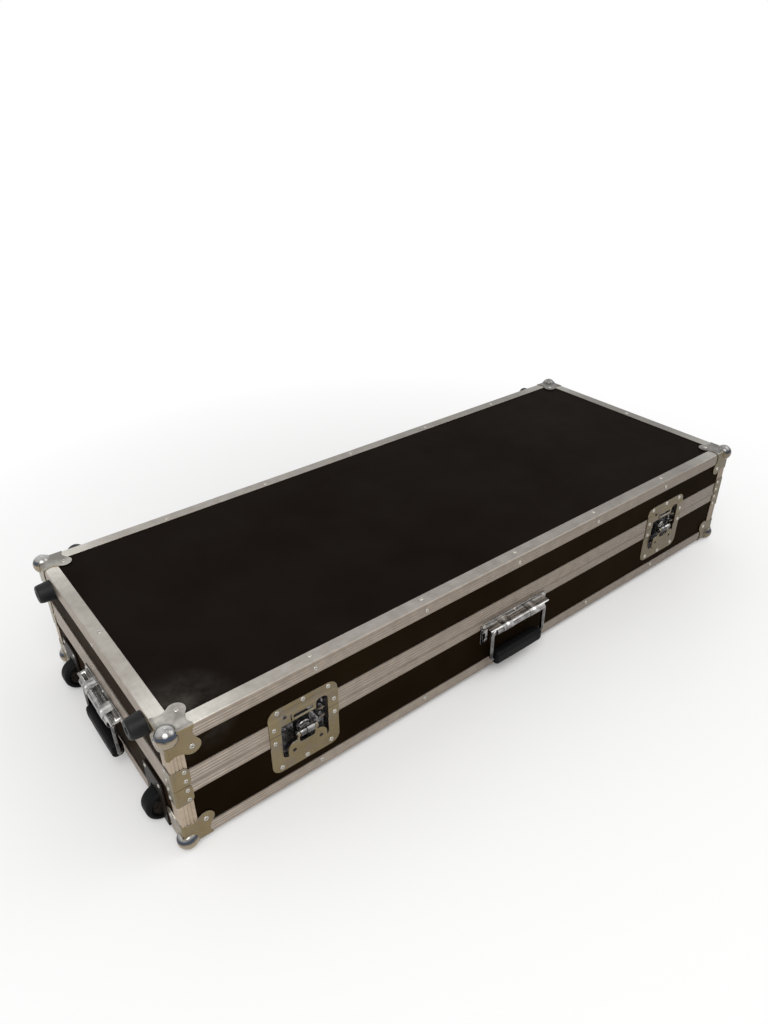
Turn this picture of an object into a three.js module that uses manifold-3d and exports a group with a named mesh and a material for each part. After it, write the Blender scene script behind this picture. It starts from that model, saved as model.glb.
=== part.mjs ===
// Keyboard hard case: a plywood flight case in two halves that meet at a tongue and groove.
// It has ridged aluminium edges, ball corners, two recessed butterfly latches, two drop
// handles, two tilt wheels at the left end, rubber feet and two hinges at the back.
// Millimetres, +X along the case to the right, +Y to the back, +Z up.
// While it is built, the origin is at the middle of the aluminium box's underside.

import * as THREE from 'three';
import { mergeVertices } from 'three/addons/utils/BufferGeometryUtils.js';
import Module from 'manifold-3d';

const wasm = await Module();
wasm.setup();

// Driving dimensions of the box
const shell = {
  length: 1210,
  depth: 475,
  height: 202,
  parting: 107,
  partingGap: 0.5,
  board: 7,
};

// Clearances and overlaps that every piece shares
const fit = {
  seam: 0.3,
  running: 0.3,
  overrun: 2,
  sink: 0.5,
  weld: 0.0001,
};

// Aluminium angle on every edge of the box
const edge = {
  leg: 22,
  metal: 1.5,
  nose: 3,
  noseSteps: 2,
  ridges: 4,
  grooveDepth: 0.5,
  grooveWidth: 1.8,
};

// Closing profiles: the tongue stands on the base rim and the groove is in the lid rim
const rim = {
  baseBand: 16,
  lidBand: 26,
  baseRidges: 3,
  lidRidges: 5,
  innerFlange: 9,
  tongueInset: 4,
  tongueWidth: 3,
  tongueHeight: 5,
  tongueTaper: 0.6,
  tongueSide: 1,
  tongueTop: 1,
};

// Pressed corner brace over each upright at the joint of lid and base
const brace = {
  width: 24,
  sheet: 1.2,
  baseDrop: 30,
  lidRise: 32,
};

// Ball corner: a domed cap with three leaves
const corner = {
  ball: 15,
  ballInset: 7,
  ballSides: 12,
  ballRings: 6,
  sheet: 1.2,
  edgeReach: 40,
  waistReach: 33,
  waistDepth: 12,
  rivetInset: 33,
  tip: 12.5,
  curveSteps: 2,
};

// Foam that holds the keyboard
const foam = {
  floor: 25,
  lid: 30,
  endWall: 56.5,
  sideWall: 34,
  bayCorner: 5,
  bayCornerSteps: 2,
  topGap: 1,
};

// Recessed butterfly latch, seen from the front: a dish in the base, a keeper dish in the lid
const latch = {
  inset: 193,
  width: 112,
  rise: 45.5,
  drop: 72.5,
  frameCorner: 15,
  frameCornerSteps: 3,
  sheet: 1.2,
  mouthWidth: 76,
  mouthCorner: 8,
  mouthCornerSteps: 2,
  mouthDrop: 50,
  recess: 12.5,
  keeperRise: 35,
  lipRise: 12,
  bayGap: 3,
  barHeight: 5,
  slotHeight: 5,
  slotLeft: 17,
  slotRight: 14,
  slitLeft: 22,
  slitWidth: 2,
  slitRise: 1.5,
  slitHeight: 12,
  holeX: 31,
  holeRise: 26,
  hole: 3,
  holeSides: 8,
  lugSheet: 2,
  lugGap: 4,
  lugWidth: 12,
  lugHole: 3.5,
  lugInset: 4,
  lidLugRise: 6,
  baseLugDrop: 9,
};

// Turning spindle of a latch
const spindle = {
  drop: 13,
  boss: 11,
  bossSides: 16,
  bossFront: 2,
  shaft: 5,
  shaftSides: 12,
  barrel: 5.5,
  barrelSides: 10,
  barrelHalf: 12,
  barrelOut: 3.7,
  neckHalf: 8,
  neckRise: 4,
  pin: 2.2,
  pinHalf: 17.6,
  pinSides: 8,
};

// Hook plate that the spindle drives up and down
const hook = {
  halfWidth: 13,
  sheet: 2,
  travel: 8,
  rise: 34,
  foot: 6,
  neckHalf: 8,
  neckLow: 17,
  neckHigh: 24,
};

// Wing that folds flat over the dish
const wing = {
  sheet: 2.5,
  halfWidth: 32,
  reach: 40,
  shoulderDrop: 10,
  corner: 13,
  cornerSteps: 2,
  notchDrop: 16,
  notchCorner: 4,
  armWidth: 4.2,
  armGap: 0.4,
  armFoot: 14,
  eye: 4.6,
  eyeSides: 10,
  fingerHole: 3,
  fingerHoleX: 22,
  fingerHoleDrop: 25,
  holeSides: 8,
};

// Drop handle: a plate with a rolled hood, a wire bail and a moulded grip
const handle = {
  width: 152,
  flangeTopDrop: 5.5,
  flangeFootDrop: 22,
  flangeCorner: 5,
  sheet: 2,
  earWidth: 16,
  earFootDrop: 48,
  earCorner: 6,
  slotWidth: 5,
  slotTopDrop: 27,
  slotFootDrop: 41,
  cornerSteps: 2,
  shelfHalf: 68,
  rollGap: 1.3,
  hoodSheet: 1.6,
  hoodRoom: 1.8,
  hoodRise: 1.6,
  shelfTurn: 36,
  rollTurn: 150,
  hoodSteps: 4,
  axisOut: 13,
  axisDrop: 20,
  wire: 3.7,
  elbow: 9,
  elbowSteps: 2,
  armHalf: 61,
  drop: 58,
  collarAt: 31,
  collarWidth: 8,
  collar: 8.2,
  boreSides: 12,
  gripGap: 4.3,
  gripHeight: 25,
  gripDepth: 19,
  gripRound: 7,
  gripBevel: 2,
  gripBevelSteps: 2,
  gripSteps: 2,
};

// Tilt wheels let into the lower left edge
const wheel = {
  leafGap: 1,
  radius: 25,
  width: 25,
  height: 18,
  setIn: 2,
  axle: 4,
  axleSides: 12,
  tread: 4,
  treadSteps: 2,
  dish: 3,
  dishOuter: 18,
  dishInner: 10,
  sides: 16,
  sideGap: 2.5,
  rimGap: 4,
  wall: 2.5,
  flangeHalf: 30,
  flangeTop: 78,
  flangeUnder: 56,
  flangeCorner: 8,
  flangeCornerSteps: 2,
};

// Rubber feet on the lid, for standing the case on its end or its back
const foot = {
  base: 16.5,
  tip: 14.5,
  height: 23,
  rim: 2,
  round: 2.5,
  well: 5,
  wellDepth: 8,
  drop: 23,
  sides: 16,
  endLeafGap: 0.5,
  backLeafGap: 3.5,
};

// Back hinges
const hinge = {
  inset: 205,
  width: 64,
  sheet: 2,
  baseLeaf: 14,
  lidLeaf: 23,
  setOut: 1,
  barrel: 5,
  pin: 2.5,
  pinHead: 3.6,
  pinHeadSheet: 1.2,
  sides: 10,
  knuckles: 5,
};

// Planes that several pieces share
const half = { x: shell.length / 2, y: shell.depth / 2 };
const plane = {
  boardOut: edge.metal,
  boardIn: edge.metal + shell.board,
  floorUnder: edge.metal,
  floorTop: edge.metal + shell.board,
  lidUnder: shell.height - edge.metal - shell.board,
  lidTop: shell.height - edge.metal,
  lidStart: shell.parting + shell.partingGap,
  baseBandFoot: shell.parting - rim.baseBand,
  baseBoardTop: shell.parting - edge.metal,
  lidBandTop: shell.parting + rim.lidBand,
  grooveTop: shell.parting + rim.tongueHeight + rim.tongueTop,
};
plane.lidBoardFoot = plane.grooveTop + edge.metal;
const latchCentre = half.x - latch.inset;
const panHalf = latch.mouthWidth / 2 + latch.sheet;
const panBack = latch.recess + latch.sheet;
const lugLeft = latch.mouthWidth / 2 - latch.lugGap - latch.lugWidth;
const handleAxis = shell.parting - handle.axisDrop;
const rollHalf = handle.armHalf - handle.wire - handle.rollGap;
const gripHalf = handle.armHalf - handle.wire - handle.gripGap;
const leafReach = corner.rivetInset + corner.tip;
const hingeAxis = [hinge.barrel + hinge.setOut, shell.parting + shell.partingGap / 2];

// Finishes
const finishes = {
  board: new THREE.MeshStandardMaterial({ color: 0x1b130d, roughness: 0.55, metalness: 0 }),
  aluminium: new THREE.MeshStandardMaterial({ color: 0xb9b2a6, roughness: 0.38, metalness: 1 }),
  zinc: new THREE.MeshStandardMaterial({ color: 0xa8a196, roughness: 0.3, metalness: 1 }),
  chrome: new THREE.MeshStandardMaterial({ color: 0xcfcfcf, roughness: 0.12, metalness: 1 }),
  steel: new THREE.MeshStandardMaterial({ color: 0x9c9a96, roughness: 0.35, metalness: 1 }),
  rubber: new THREE.MeshStandardMaterial({ color: 0x141414, roughness: 0.7, metalness: 0 }),
  plastic: new THREE.MeshStandardMaterial({ color: 0x1a1a1b, roughness: 0.5, metalness: 0 }),
  foam: new THREE.MeshStandardMaterial({ color: 0x26262a, roughness: 0.95, metalness: 0 }),
};

const group = new THREE.Group();

// Adds a solid to the case as one named mesh
function add(name, solid, finish, parent = group) {
  const data = solid.getMesh();
  const positions = new Float32Array(data.vertProperties);
  const geometry = new THREE.BufferGeometry();
  geometry.setAttribute('position', new THREE.BufferAttribute(positions, data.numProp));
  geometry.setIndex(new THREE.BufferAttribute(new Uint32Array(data.triVerts), 1));
  geometry.computeVertexNormals();
  const mesh = new THREE.Mesh(geometry, finish);
  mesh.name = name;
  parent.add(mesh);
  return mesh;
}

// Turns a closed three.js geometry into a solid that can be joined and cut
function solidOf(geometry) {
  const bare = geometry.clone();
  bare.deleteAttribute('normal');
  bare.deleteAttribute('uv');
  const welded = mergeVertices(bare, fit.weld);
  const index = welded.index.array;
  const triangles = [];
  for (let i = 0; i < index.length; i += 3) {
    const [a, b, c] = [index[i], index[i + 1], index[i + 2]];
    if (a !== b && b !== c && c !== a) triangles.push(a, b, c);
  }
  const vertProperties = new Float32Array(welded.getAttribute('position').array);
  const triVerts = new Uint32Array(facingOut(vertProperties, triangles));
  return new wasm.Manifold(new wasm.Mesh({ numProp: 3, vertProperties, triVerts }));
}

// The triangles of a closed surface, turned over if they face inwards
function facingOut(points, triangles) {
  const corners = [new THREE.Vector3(), new THREE.Vector3(), new THREE.Vector3()];
  let volume = 0;
  for (let i = 0; i < triangles.length; i += 3) {
    corners.forEach((at, k) => at.fromArray(points, triangles[i + k] * 3));
    volume += corners[0].dot(corners[1].clone().cross(corners[2]));
  }
  return volume < 0 ? triangles.reverse() : triangles;
}

function joined(solids) {
  return solids.reduce((whole, next) => whole.add(next));
}

function cut(solid, tools) {
  return tools.reduce((rest, tool) => rest.subtract(tool), solid);
}

// Moves each vertex of a geometry to the place that a function gives for it
function remap(geometry, place) {
  const position = geometry.getAttribute('position');
  for (let i = 0; i < position.count; i += 1) {
    position.setXYZ(i, ...place(position.getX(i), position.getY(i), position.getZ(i)));
  }
  return geometry;
}

// Box between pairs of low and high values
function block([x0, x1], [y0, y1], [z0, z1]) {
  const pick = (value, low, high) => (value > 0 ? high : low);
  const place = (x, y, z) => [pick(x, x0, x1), pick(y, y0, y1), pick(z, z0, z1)];
  return solidOf(remap(new THREE.BoxGeometry(), place));
}

// Outline extruded between two planes: along z as drawn in x and y,
// along y as drawn in x and z, or along x as drawn in y and z
function extrude(shape, axis, low, high, curveSegments = 1) {
  const geometry = new THREE.ExtrudeGeometry(shape, { depth: 1, bevelEnabled: false, curveSegments });
  const places = {
    z: (u, v, t) => [u, v, t > 0 ? high : low],
    y: (u, v, t) => [u, t > 0 ? low : high, v],
    x: (u, v, t) => [t > 0 ? high : low, u, v],
  };
  return solidOf(remap(geometry, places[axis]));
}

// Round bar along an axis between two planes, centred on a place in the other two axes
function rod(axis, radius, low, high, [first, second], sides) {
  const geometry = new THREE.CylinderGeometry(radius, radius, high - low, sides);
  const middle = (low + high) / 2;
  if (axis === 'x') geometry.rotateZ(Math.PI / 2).translate(middle, first, second);
  if (axis === 'y') geometry.translate(first, middle, second);
  if (axis === 'z') geometry.rotateX(Math.PI / 2).translate(first, second, middle);
  return solidOf(geometry);
}

// Rectangle with round corners
function roundedRectangle([x0, x1], [y0, y1], radius) {
  const quarter = Math.PI / 2;
  const shape = new THREE.Shape();
  shape.absarc(x1 - radius, y0 + radius, radius, -quarter, 0);
  shape.absarc(x1 - radius, y1 - radius, radius, 0, quarter);
  shape.absarc(x0 + radius, y1 - radius, radius, quarter, 2 * quarter);
  shape.absarc(x0 + radius, y0 + radius, radius, 2 * quarter, 3 * quarter);
  shape.closePath();
  return shape;
}

// Points of a straight face with shallow grooves, from its start to its end.
// The grooves go in along the given direction.
function groovedFace(start, end, inward, ridges) {
  const points = [start];
  const along = end.clone().sub(start);
  const length = along.length();
  const step = along.clone().normalize();
  const pitch = length / ridges;
  for (let i = 1; i < ridges; i += 1) {
    const middle = start.clone().addScaledVector(step, pitch * i);
    points.push(middle.clone().addScaledVector(step, -edge.grooveWidth / 2));
    points.push(middle.clone().addScaledVector(inward, edge.grooveDepth));
    points.push(middle.clone().addScaledVector(step, edge.grooveWidth / 2));
  }
  points.push(end);
  return points;
}

const p = (x, y) => new THREE.Vector2(x, y);
const inwards = p(1, 0);
const upwards = p(0, 1);

// Sweeps a closed profile round the box with mitred corners.
// A profile point is the distance in from the outer face, and the height.
function frameSweep(profile) {
  const points = THREE.ShapeUtils.isClockWise(profile) ? profile : [...profile].reverse();
  const signs = [[1, 1], [-1, 1], [-1, -1], [1, -1]];
  const positions = [];
  for (const [sx, sy] of signs) {
    for (const point of points) {
      positions.push(sx * (half.x - point.x), sy * (half.y - point.x), point.y);
    }
  }
  const count = points.length;
  const index = [];
  for (let turn = 0; turn < signs.length; turn += 1) {
    const here = turn * count;
    const next = ((turn + 1) % signs.length) * count;
    for (let i = 0; i < count; i += 1) {
      const j = (i + 1) % count;
      index.push(here + i, next + i, next + j);
      index.push(here + i, next + j, here + j);
    }
  }
  const geometry = new THREE.BufferGeometry();
  geometry.setAttribute('position', new THREE.Float32BufferAttribute(positions, 3));
  geometry.setIndex(index);
  return solidOf(geometry);
}

// Points of the rounded outer corner of an angle, from the vertical face to the flat one
function nosePoints() {
  const points = [];
  for (let i = 0; i <= edge.noseSteps; i += 1) {
    const angle = (Math.PI / 2) * (i / edge.noseSteps);
    points.push(p(edge.nose * (1 - Math.cos(angle)), edge.nose * (1 - Math.sin(angle))));
  }
  return points;
}

// Section of the edge angle: distance in from one face, and distance in from the other
function angleSection(grooveBoth) {
  const flat = [p(edge.nose, 0), p(edge.leg, 0)];
  const side = groovedFace(p(0, edge.leg), p(0, edge.nose), inwards, edge.ridges);
  const top = grooveBoth ? groovedFace(flat[0], flat[1], upwards, edge.ridges) : flat;
  const inner = [p(edge.leg, edge.metal), p(edge.metal, edge.metal), p(edge.metal, edge.leg)];
  return [...side, ...nosePoints().slice(1, -1), ...top, ...inner];
}

// Every corner of the box, as signs along x and y
const uprightSigns = [[-1, -1], [1, -1], [-1, 1], [1, 1]];

// Places an outline drawn as distances in from the two faces at a vertical corner
function cornerShape(points, [sx, sy]) {
  return new THREE.Shape(points.map((at) => p(sx * (half.x - at.x), sy * (half.y - at.y))));
}

// Brace outline from a depth inside the faces out to its own sheet
function braceOutline(inside) {
  const out = -brace.sheet;
  return [
    p(brace.width, inside), p(brace.width, out), p(0, out),
    p(out, 0), p(out, brace.width), p(inside, brace.width), p(inside, inside),
  ];
}

// Uprights of one half of the case
function uprights(low, high) {
  return uprightSigns.map((signs) => extrude(cornerShape(angleSection(true), signs), 'z', low, high));
}

// Corner braces over the uprights and the closing profile, which carries them. They leave
// room for the leaves of the ball corners.
function braces([low, high], [seatLow, seatHigh], leaves) {
  const leafRoom = block([-shell.length, shell.length], [-shell.depth, shell.depth], leaves);
  return uprightSigns.flatMap((signs) => [
    extrude(cornerShape(braceOutline(0), signs), 'z', low, high).subtract(leafRoom),
    extrude(cornerShape(braceOutline(fit.sink), signs), 'z', seatLow, seatHigh).subtract(leafRoom),
  ]);
}

// Places of the two wheels, from the near side to the far side
const wheelInset = leafReach + wheel.leafGap + wheel.flangeHalf;
const wheelAt = [wheelInset - half.y, half.y - wheelInset];
const pocket = {
  halfWidth: wheel.width / 2 + wheel.sideGap,
  depth: wheel.setIn + wheel.radius + wheel.rimGap,
  top: wheel.height + wheel.radius + wheel.rimGap,
};
pocket.outerHalf = pocket.halfWidth + wheel.wall;
pocket.outerDepth = pocket.depth + wheel.wall;
pocket.outerTop = pocket.top + wheel.wall;

// Room for a wheel housing in the boards, the edge and the foam
function housingRoom(y) {
  const side = pocket.outerHalf + fit.seam;
  return block(
    [-half.x - fit.overrun, -half.x + pocket.outerDepth + fit.seam],
    [y - side, y + side],
    [-fit.overrun, pocket.outerTop + fit.seam],
  );
}

// Room for a latch in the front of the base or the lid, up to a depth behind the face
function latchRoom(x, low, high) {
  const side = panHalf + fit.seam;
  return block([x - side, x + side], [-half.y - fit.overrun, -half.y + panBack + fit.seam], [low, high]);
}

// Room for a latch frame that reaches an edge angle
function frameRoom(x) {
  const side = latch.width / 2 + fit.seam;
  return block([x - side, x + side], [-half.y - fit.overrun, -half.y + edge.metal],
    [shell.parting - latch.drop - fit.seam, shell.parting + latch.rise + fit.seam]);
}

const latchSpots = [-latchCentre, latchCentre];
const panFoot = shell.parting - latch.mouthDrop - latch.sheet;
const panHead = plane.lidStart + latch.keeperRise + latch.sheet;

// Aluminium edges
function buildEdges() {
  const seat = plane.baseBandFoot - fit.seam;
  const bottomRing = frameSweep(angleSection(false));
  const leftSpan = pocket.outerHalf + fit.seam;
  const reach = [-half.x - fit.overrun, -half.x + edge.leg + fit.overrun];
  const rise = [-fit.overrun, edge.leg + fit.overrun];
  const outer = wheelAt[1] + leftSpan;
  const inner = wheelAt[1] - leftSpan;
  const frame = joined([
    bottomRing.subtract(block(reach, [-outer, outer], rise)),
    ...uprights(edge.leg - fit.sink, seat),
  ]);
  const latchFrames = latchSpots.map(frameRoom);
  add('base_edge_frame', cut(frame, latchFrames), finishes.aluminium);
  add('base_edge_left', bottomRing.intersect(block(reach, [-inner, inner], rise)), finishes.aluminium);

  const lidSection = angleSection(false).map((at) => p(at.x, shell.height - at.y));
  const lidSeat = plane.lidBandTop + fit.seam;
  const lidFrame = joined([
    frameSweep(lidSection),
    ...uprights(lidSeat, shell.height - edge.leg + fit.sink),
  ]);
  add('lid_edge_frame', cut(lidFrame, latchFrames), finishes.aluminium);
}

// Closing profile of the base, with its tongue
function baseRimSection() {
  const { tongueInset: start, tongueWidth: wide, tongueTaper: taper } = rim;
  const tip = shell.parting + rim.tongueHeight;
  const flange = plane.boardIn + edge.metal;
  return [
    ...groovedFace(p(0, plane.baseBandFoot), p(0, shell.parting), inwards, rim.baseRidges),
    p(start, shell.parting), p(start + taper, tip), p(start + wide - taper, tip),
    p(start + wide, shell.parting), p(flange, shell.parting),
    p(flange, shell.parting - rim.innerFlange), p(plane.boardIn, shell.parting - rim.innerFlange),
    p(plane.boardIn, plane.baseBoardTop), p(plane.boardOut, plane.baseBoardTop),
    p(plane.boardOut, plane.baseBandFoot),
  ];
}

// Closing profile of the lid, with its groove
function lidRimSection() {
  const near = rim.tongueInset - rim.tongueSide;
  const far = rim.tongueInset + rim.tongueWidth + rim.tongueSide;
  const flange = plane.boardIn + edge.metal;
  const flangeTop = plane.lidBoardFoot + rim.innerFlange - edge.metal;
  return [
    ...groovedFace(p(0, plane.lidBandTop), p(0, plane.lidStart), inwards, rim.lidRidges),
    p(near, plane.lidStart), p(near, plane.grooveTop), p(far, plane.grooveTop),
    p(far, plane.lidStart), p(flange, plane.lidStart), p(flange, flangeTop),
    p(plane.boardIn, flangeTop), p(plane.boardIn, plane.lidBoardFoot),
    p(plane.boardOut, plane.lidBoardFoot), p(plane.boardOut, plane.lidBandTop),
  ];
}

// A closing profile runs round the box and is cut away at the two latches
function buildRim(name, section, corners) {
  const ring = joined([frameSweep(section), ...corners]);
  const outer = latchCentre + panHalf + fit.seam;
  const inner = latchCentre - panHalf - fit.seam;
  const front = [-half.y - fit.overrun, -half.y + plane.boardIn + edge.metal + fit.overrun];
  const tall = [0, shell.height];
  add(name, ring.subtract(block([-outer, outer], front, tall)), finishes.aluminium);
  add(`${name}_front`, ring.intersect(block([-inner, inner], front, tall)), finishes.aluminium);
}

// Plywood boards of the base
function buildBaseBoards() {
  const x = half.x - plane.boardOut;
  const y = half.y - plane.boardOut;
  const ix = half.x - plane.boardIn;
  const iy = half.y - plane.boardIn;
  const wall = [plane.floorTop, plane.baseBoardTop];
  const wheels = wheelAt.map(housingRoom);
  const latches = latchSpots.map((at) => latchRoom(at, panFoot - fit.seam, shell.parting));
  const floor = block([-x, x], [-y, y], [plane.floorUnder, plane.floorTop]);
  add('base_floor', cut(floor, wheels), finishes.board);
  add('base_front_panel', cut(block([-x, x], [-y, -iy], wall), latches), finishes.board);
  add('base_back_panel', block([-x, x], [iy, y], wall), finishes.board);
  add('base_left_panel', cut(block([-x, -ix], [-iy, iy], wall), wheels), finishes.board);
  add('base_right_panel', block([ix, x], [-iy, iy], wall), finishes.board);
}

// Plywood boards of the lid
function buildLidBoards() {
  const x = half.x - plane.boardOut;
  const y = half.y - plane.boardOut;
  const ix = half.x - plane.boardIn;
  const iy = half.y - plane.boardIn;
  const wall = [plane.lidBoardFoot, plane.lidUnder];
  const latches = latchSpots.map((at) => latchRoom(at, shell.parting, panHead + fit.seam));
  add('lid_top_panel', block([-x, x], [-y, y], [plane.lidUnder, plane.lidTop]), finishes.board);
  add('lid_front_panel', cut(block([-x, x], [-y, -iy], wall), latches), finishes.board);
  add('lid_back_panel', block([-x, x], [iy, y], wall), finishes.board);
  add('lid_left_panel', block([-x, -ix], [-iy, iy], wall), finishes.board);
  add('lid_right_panel', block([ix, x], [-iy, iy], wall), finishes.board);
}

// Foam tray in the base and foam sheet in the lid
function buildFoam() {
  const x = half.x - plane.boardIn;
  const y = half.y - plane.boardIn;
  const top = shell.parting - rim.innerFlange - foam.topGap;
  const bay = roundedRectangle([-x + foam.endWall, x - foam.endWall],
    [-y + foam.sideWall, y - foam.sideWall], foam.bayCorner);
  const tray = cut(block([-x, x], [-y, y], [plane.floorTop, top]), [
    extrude(bay, 'z', plane.floorTop + foam.floor, shell.parting, foam.bayCornerSteps),
    ...wheelAt.map(housingRoom),
    ...latchSpots.map((at) => latchRoom(at, panFoot - fit.seam, shell.parting)),
  ]);
  add('base_foam_tray', tray, finishes.foam);
  const sheet = cut(block([-x, x], [-y, y], [plane.lidUnder - foam.lid, plane.lidUnder]),
    latchSpots.map((at) => latchRoom(at, shell.parting, panHead + fit.seam)));
  add('lid_foam_sheet', sheet, finishes.foam);
}

// Outline of one leaf of a ball corner, drawn as distances from the two edges of its face.
// It reaches one sheet past both edges, where it meets the leaves of the other faces.
function leafOutline() {
  const shape = new THREE.Shape();
  const side = corner.rivetInset - corner.tip * Math.SQRT1_2;
  const far = corner.rivetInset + corner.tip * Math.SQRT1_2;
  shape.moveTo(-corner.sheet, -corner.sheet);
  shape.lineTo(corner.edgeReach, -corner.sheet);
  shape.lineTo(corner.edgeReach, 0);
  shape.quadraticCurveTo(corner.waistReach, corner.waistDepth, far, side);
  shape.absarc(corner.rivetInset, corner.rivetInset, corner.tip, -Math.PI / 4, (3 * Math.PI) / 4);
  shape.quadraticCurveTo(corner.waistDepth, corner.waistReach, 0, corner.edgeReach);
  shape.lineTo(-corner.sheet, corner.edgeReach);
  shape.closePath();
  return shape;
}

// Ball corner at the origin, for a box that lies on the negative side of all three axes
function ballCorner() {
  const sheet = { depth: corner.sheet, bevelEnabled: false, curveSegments: corner.curveSteps };
  const leaf = new THREE.ExtrudeGeometry(leafOutline(), sheet);
  const places = [
    (u, v, t) => [-u, -v, t],
    (u, v, t) => [t, -u, -v],
    (u, v, t) => [-v, t, -u],
  ];
  const leaves = places.map((place) => solidOf(remap(leaf.clone(), place)));
  const dome = new THREE.SphereGeometry(corner.ball, corner.ballSides, corner.ballRings);
  dome.translate(-corner.ballInset, -corner.ballInset, -corner.ballInset);
  const reach = [-2 * corner.ball, 0];
  return joined([cut(solidOf(dome), [block(reach, reach, reach)]), ...leaves]);
}

// Eight ball corners, turned from the one at the back right of the lid
function buildCorners() {
  const solid = ballCorner();
  const lidTurns = ['back_right', 'back_left', 'front_left', 'front_right'];
  const baseTurns = ['front_right', 'back_right', 'back_left', 'front_left'];
  const signOf = { front: -1, back: 1, left: -1, right: 1 };
  const place = (name, turns, height, flip) => {
    turns.forEach((spot, quarter) => {
      const [y, x] = spot.split('_').map((word) => signOf[word]);
      const mesh = add(`${name}_corner_${spot}`, solid, finishes.zinc);
      mesh.rotation.set(flip, 0, (quarter * Math.PI) / 2, 'ZYX');
      mesh.position.set(x * half.x, y * half.y, height);
    });
  };
  place('lid', lidTurns, shell.height, 0);
  place('base', baseTurns, 0, Math.PI);
}

// Latch frame plate between two heights. It lies on the closing profile between the two
// band heights and steps back onto the boards beyond them.
function latchFrame(low, high, bandLow, bandHigh) {
  const side = [-latch.width / 2, latch.width / 2];
  const outline = roundedRectangle(side, [shell.parting - latch.drop, shell.parting + latch.rise],
    latch.frameCorner);
  const steps = latch.frameCornerSteps;
  const layer = (near, far, from, to) => extrude(outline, 'y', near, far, steps)
    .intersect(block(side, [near, far], [from, to]));
  const seat = edge.metal;
  const pieces = [layer(-latch.sheet, 0, Math.max(low, bandLow), Math.min(high, bandHigh))];
  if (low < bandLow) {
    pieces.push(layer(seat - latch.sheet, seat, low, bandLow));
    pieces.push(layer(-latch.sheet, seat, bandLow, bandLow + latch.sheet));
  }
  if (high > bandHigh) {
    pieces.push(layer(seat - latch.sheet, seat, bandHigh, high));
    pieces.push(layer(-latch.sheet, seat, bandHigh - latch.sheet, bandHigh));
  }
  return joined(pieces);
}

// Pressed pan behind a latch frame, open at the joint of lid and base
function latchPan(foot, head) {
  const mouth = latch.mouthWidth / 2;
  const wall = latch.sheet;
  const steps = latch.mouthCornerSteps;
  const round = latch.mouthCorner;
  const outer = roundedRectangle([-panHalf, panHalf], [foot - wall, head + wall], round + wall);
  const inner = roundedRectangle([-mouth, mouth], [foot, head], round);
  return {
    outer: extrude(outer, 'y', -wall, panBack, steps),
    inner: extrude(inner, 'y', -fit.overrun, latch.recess, steps),
  };
}

// Padlock lug: a flat tab with a hole, standing out from the back of the pan
function padlockLug(low) {
  const x = [lugLeft, lugLeft + latch.lugWidth];
  const z = [low, low + latch.lugSheet];
  const middle = (x[0] + x[1]) / 2;
  const hole = rod('z', latch.lugHole, z[0] - fit.overrun, z[1] + fit.overrun,
    [middle, latch.lugInset], latch.holeSides);
  return block(x, [-latch.sheet + fit.seam, latch.recess + fit.sink], z).subtract(hole);
}

// Lower dish of a latch, fixed to the base
function latchDish() {
  const foot = shell.parting - latch.mouthDrop;
  const { outer, inner } = latchPan(foot, shell.parting + latch.mouthDrop);
  const below = block([-latch.width, latch.width], [-panBack, 2 * panBack], [0, shell.parting]);
  const plate = latchFrame(shell.parting - latch.drop, shell.parting, plane.baseBandFoot - fit.seam
    - latch.sheet, shell.parting);
  const pan = joined([outer, plate]).subtract(inner).intersect(below);
  return joined([pan, padlockLug(shell.parting - latch.baseLugDrop)]);
}

// Upper dish of a latch, fixed to the lid: its plate covers the pan down to the keeper bar
function latchKeeper() {
  const head = plane.lidStart + latch.keeperRise;
  const { outer, inner } = latchPan(plane.lidStart - latch.keeperRise, head);
  const above = block([-latch.width, latch.width], [-panBack, 2 * panBack], [plane.lidStart, shell.height]);
  const plate = latchFrame(plane.lidStart, shell.parting + latch.rise, plane.lidStart,
    plane.lidBandTop + fit.seam + latch.sheet);
  const through = [-latch.sheet - fit.overrun, edge.metal + fit.overrun];
  const lip = plane.lidStart + latch.lipRise;
  const slotFoot = lip + latch.barHeight;
  const mouth = latch.mouthWidth / 2;
  const slit = [-latch.slitLeft, -latch.slitLeft + latch.slitWidth];
  const openings = [
    block([-mouth, mouth], through, [shell.parting, lip]),
    block([lugLeft - latch.bayGap, mouth], through, [shell.parting, head - latch.mouthCorner]),
    block([-latch.slotLeft, latch.slotRight], through, [slotFoot, slotFoot + latch.slotHeight]),
    block(slit, through, [lip + latch.slitRise, lip + latch.slitRise + latch.slitHeight]),
    rod('y', latch.hole, ...through, [-latch.holeX, plane.lidStart + latch.holeRise], latch.holeSides),
  ];
  const pan = outer.subtract(inner).intersect(above);
  return joined([pan, cut(plate, openings), padlockLug(plane.lidStart + latch.lidLugRise)]);
}

const spindleHeight = shell.parting - spindle.drop;
const hookBack = latch.recess - fit.seam;
const hookFront = hookBack - hook.sheet;

// Spindle: a boss that turns in the dish, with a cross barrel and the wing's pin in front
function latchSpindle() {
  const at = [0, spindleHeight];
  const cross = [-spindle.barrelOut, spindleHeight];
  const bossBack = hookFront - fit.seam;
  return joined([
    rod('y', spindle.boss, spindle.bossFront, bossBack, at, spindle.bossSides),
    rod('y', spindle.shaft, bossBack - fit.sink, hookBack, at, spindle.shaftSides),
    block([-spindle.neckHalf, spindle.neckHalf], [-spindle.barrelOut, spindle.bossFront + fit.sink],
      [spindleHeight - spindle.neckRise, spindleHeight + spindle.neckRise]),
    rod('x', spindle.barrel, -spindle.barrelHalf, spindle.barrelHalf, cross, spindle.barrelSides),
    rod('x', spindle.pin, -spindle.pinHalf, spindle.pinHalf, cross, spindle.pinSides),
  ]);
}

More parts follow.
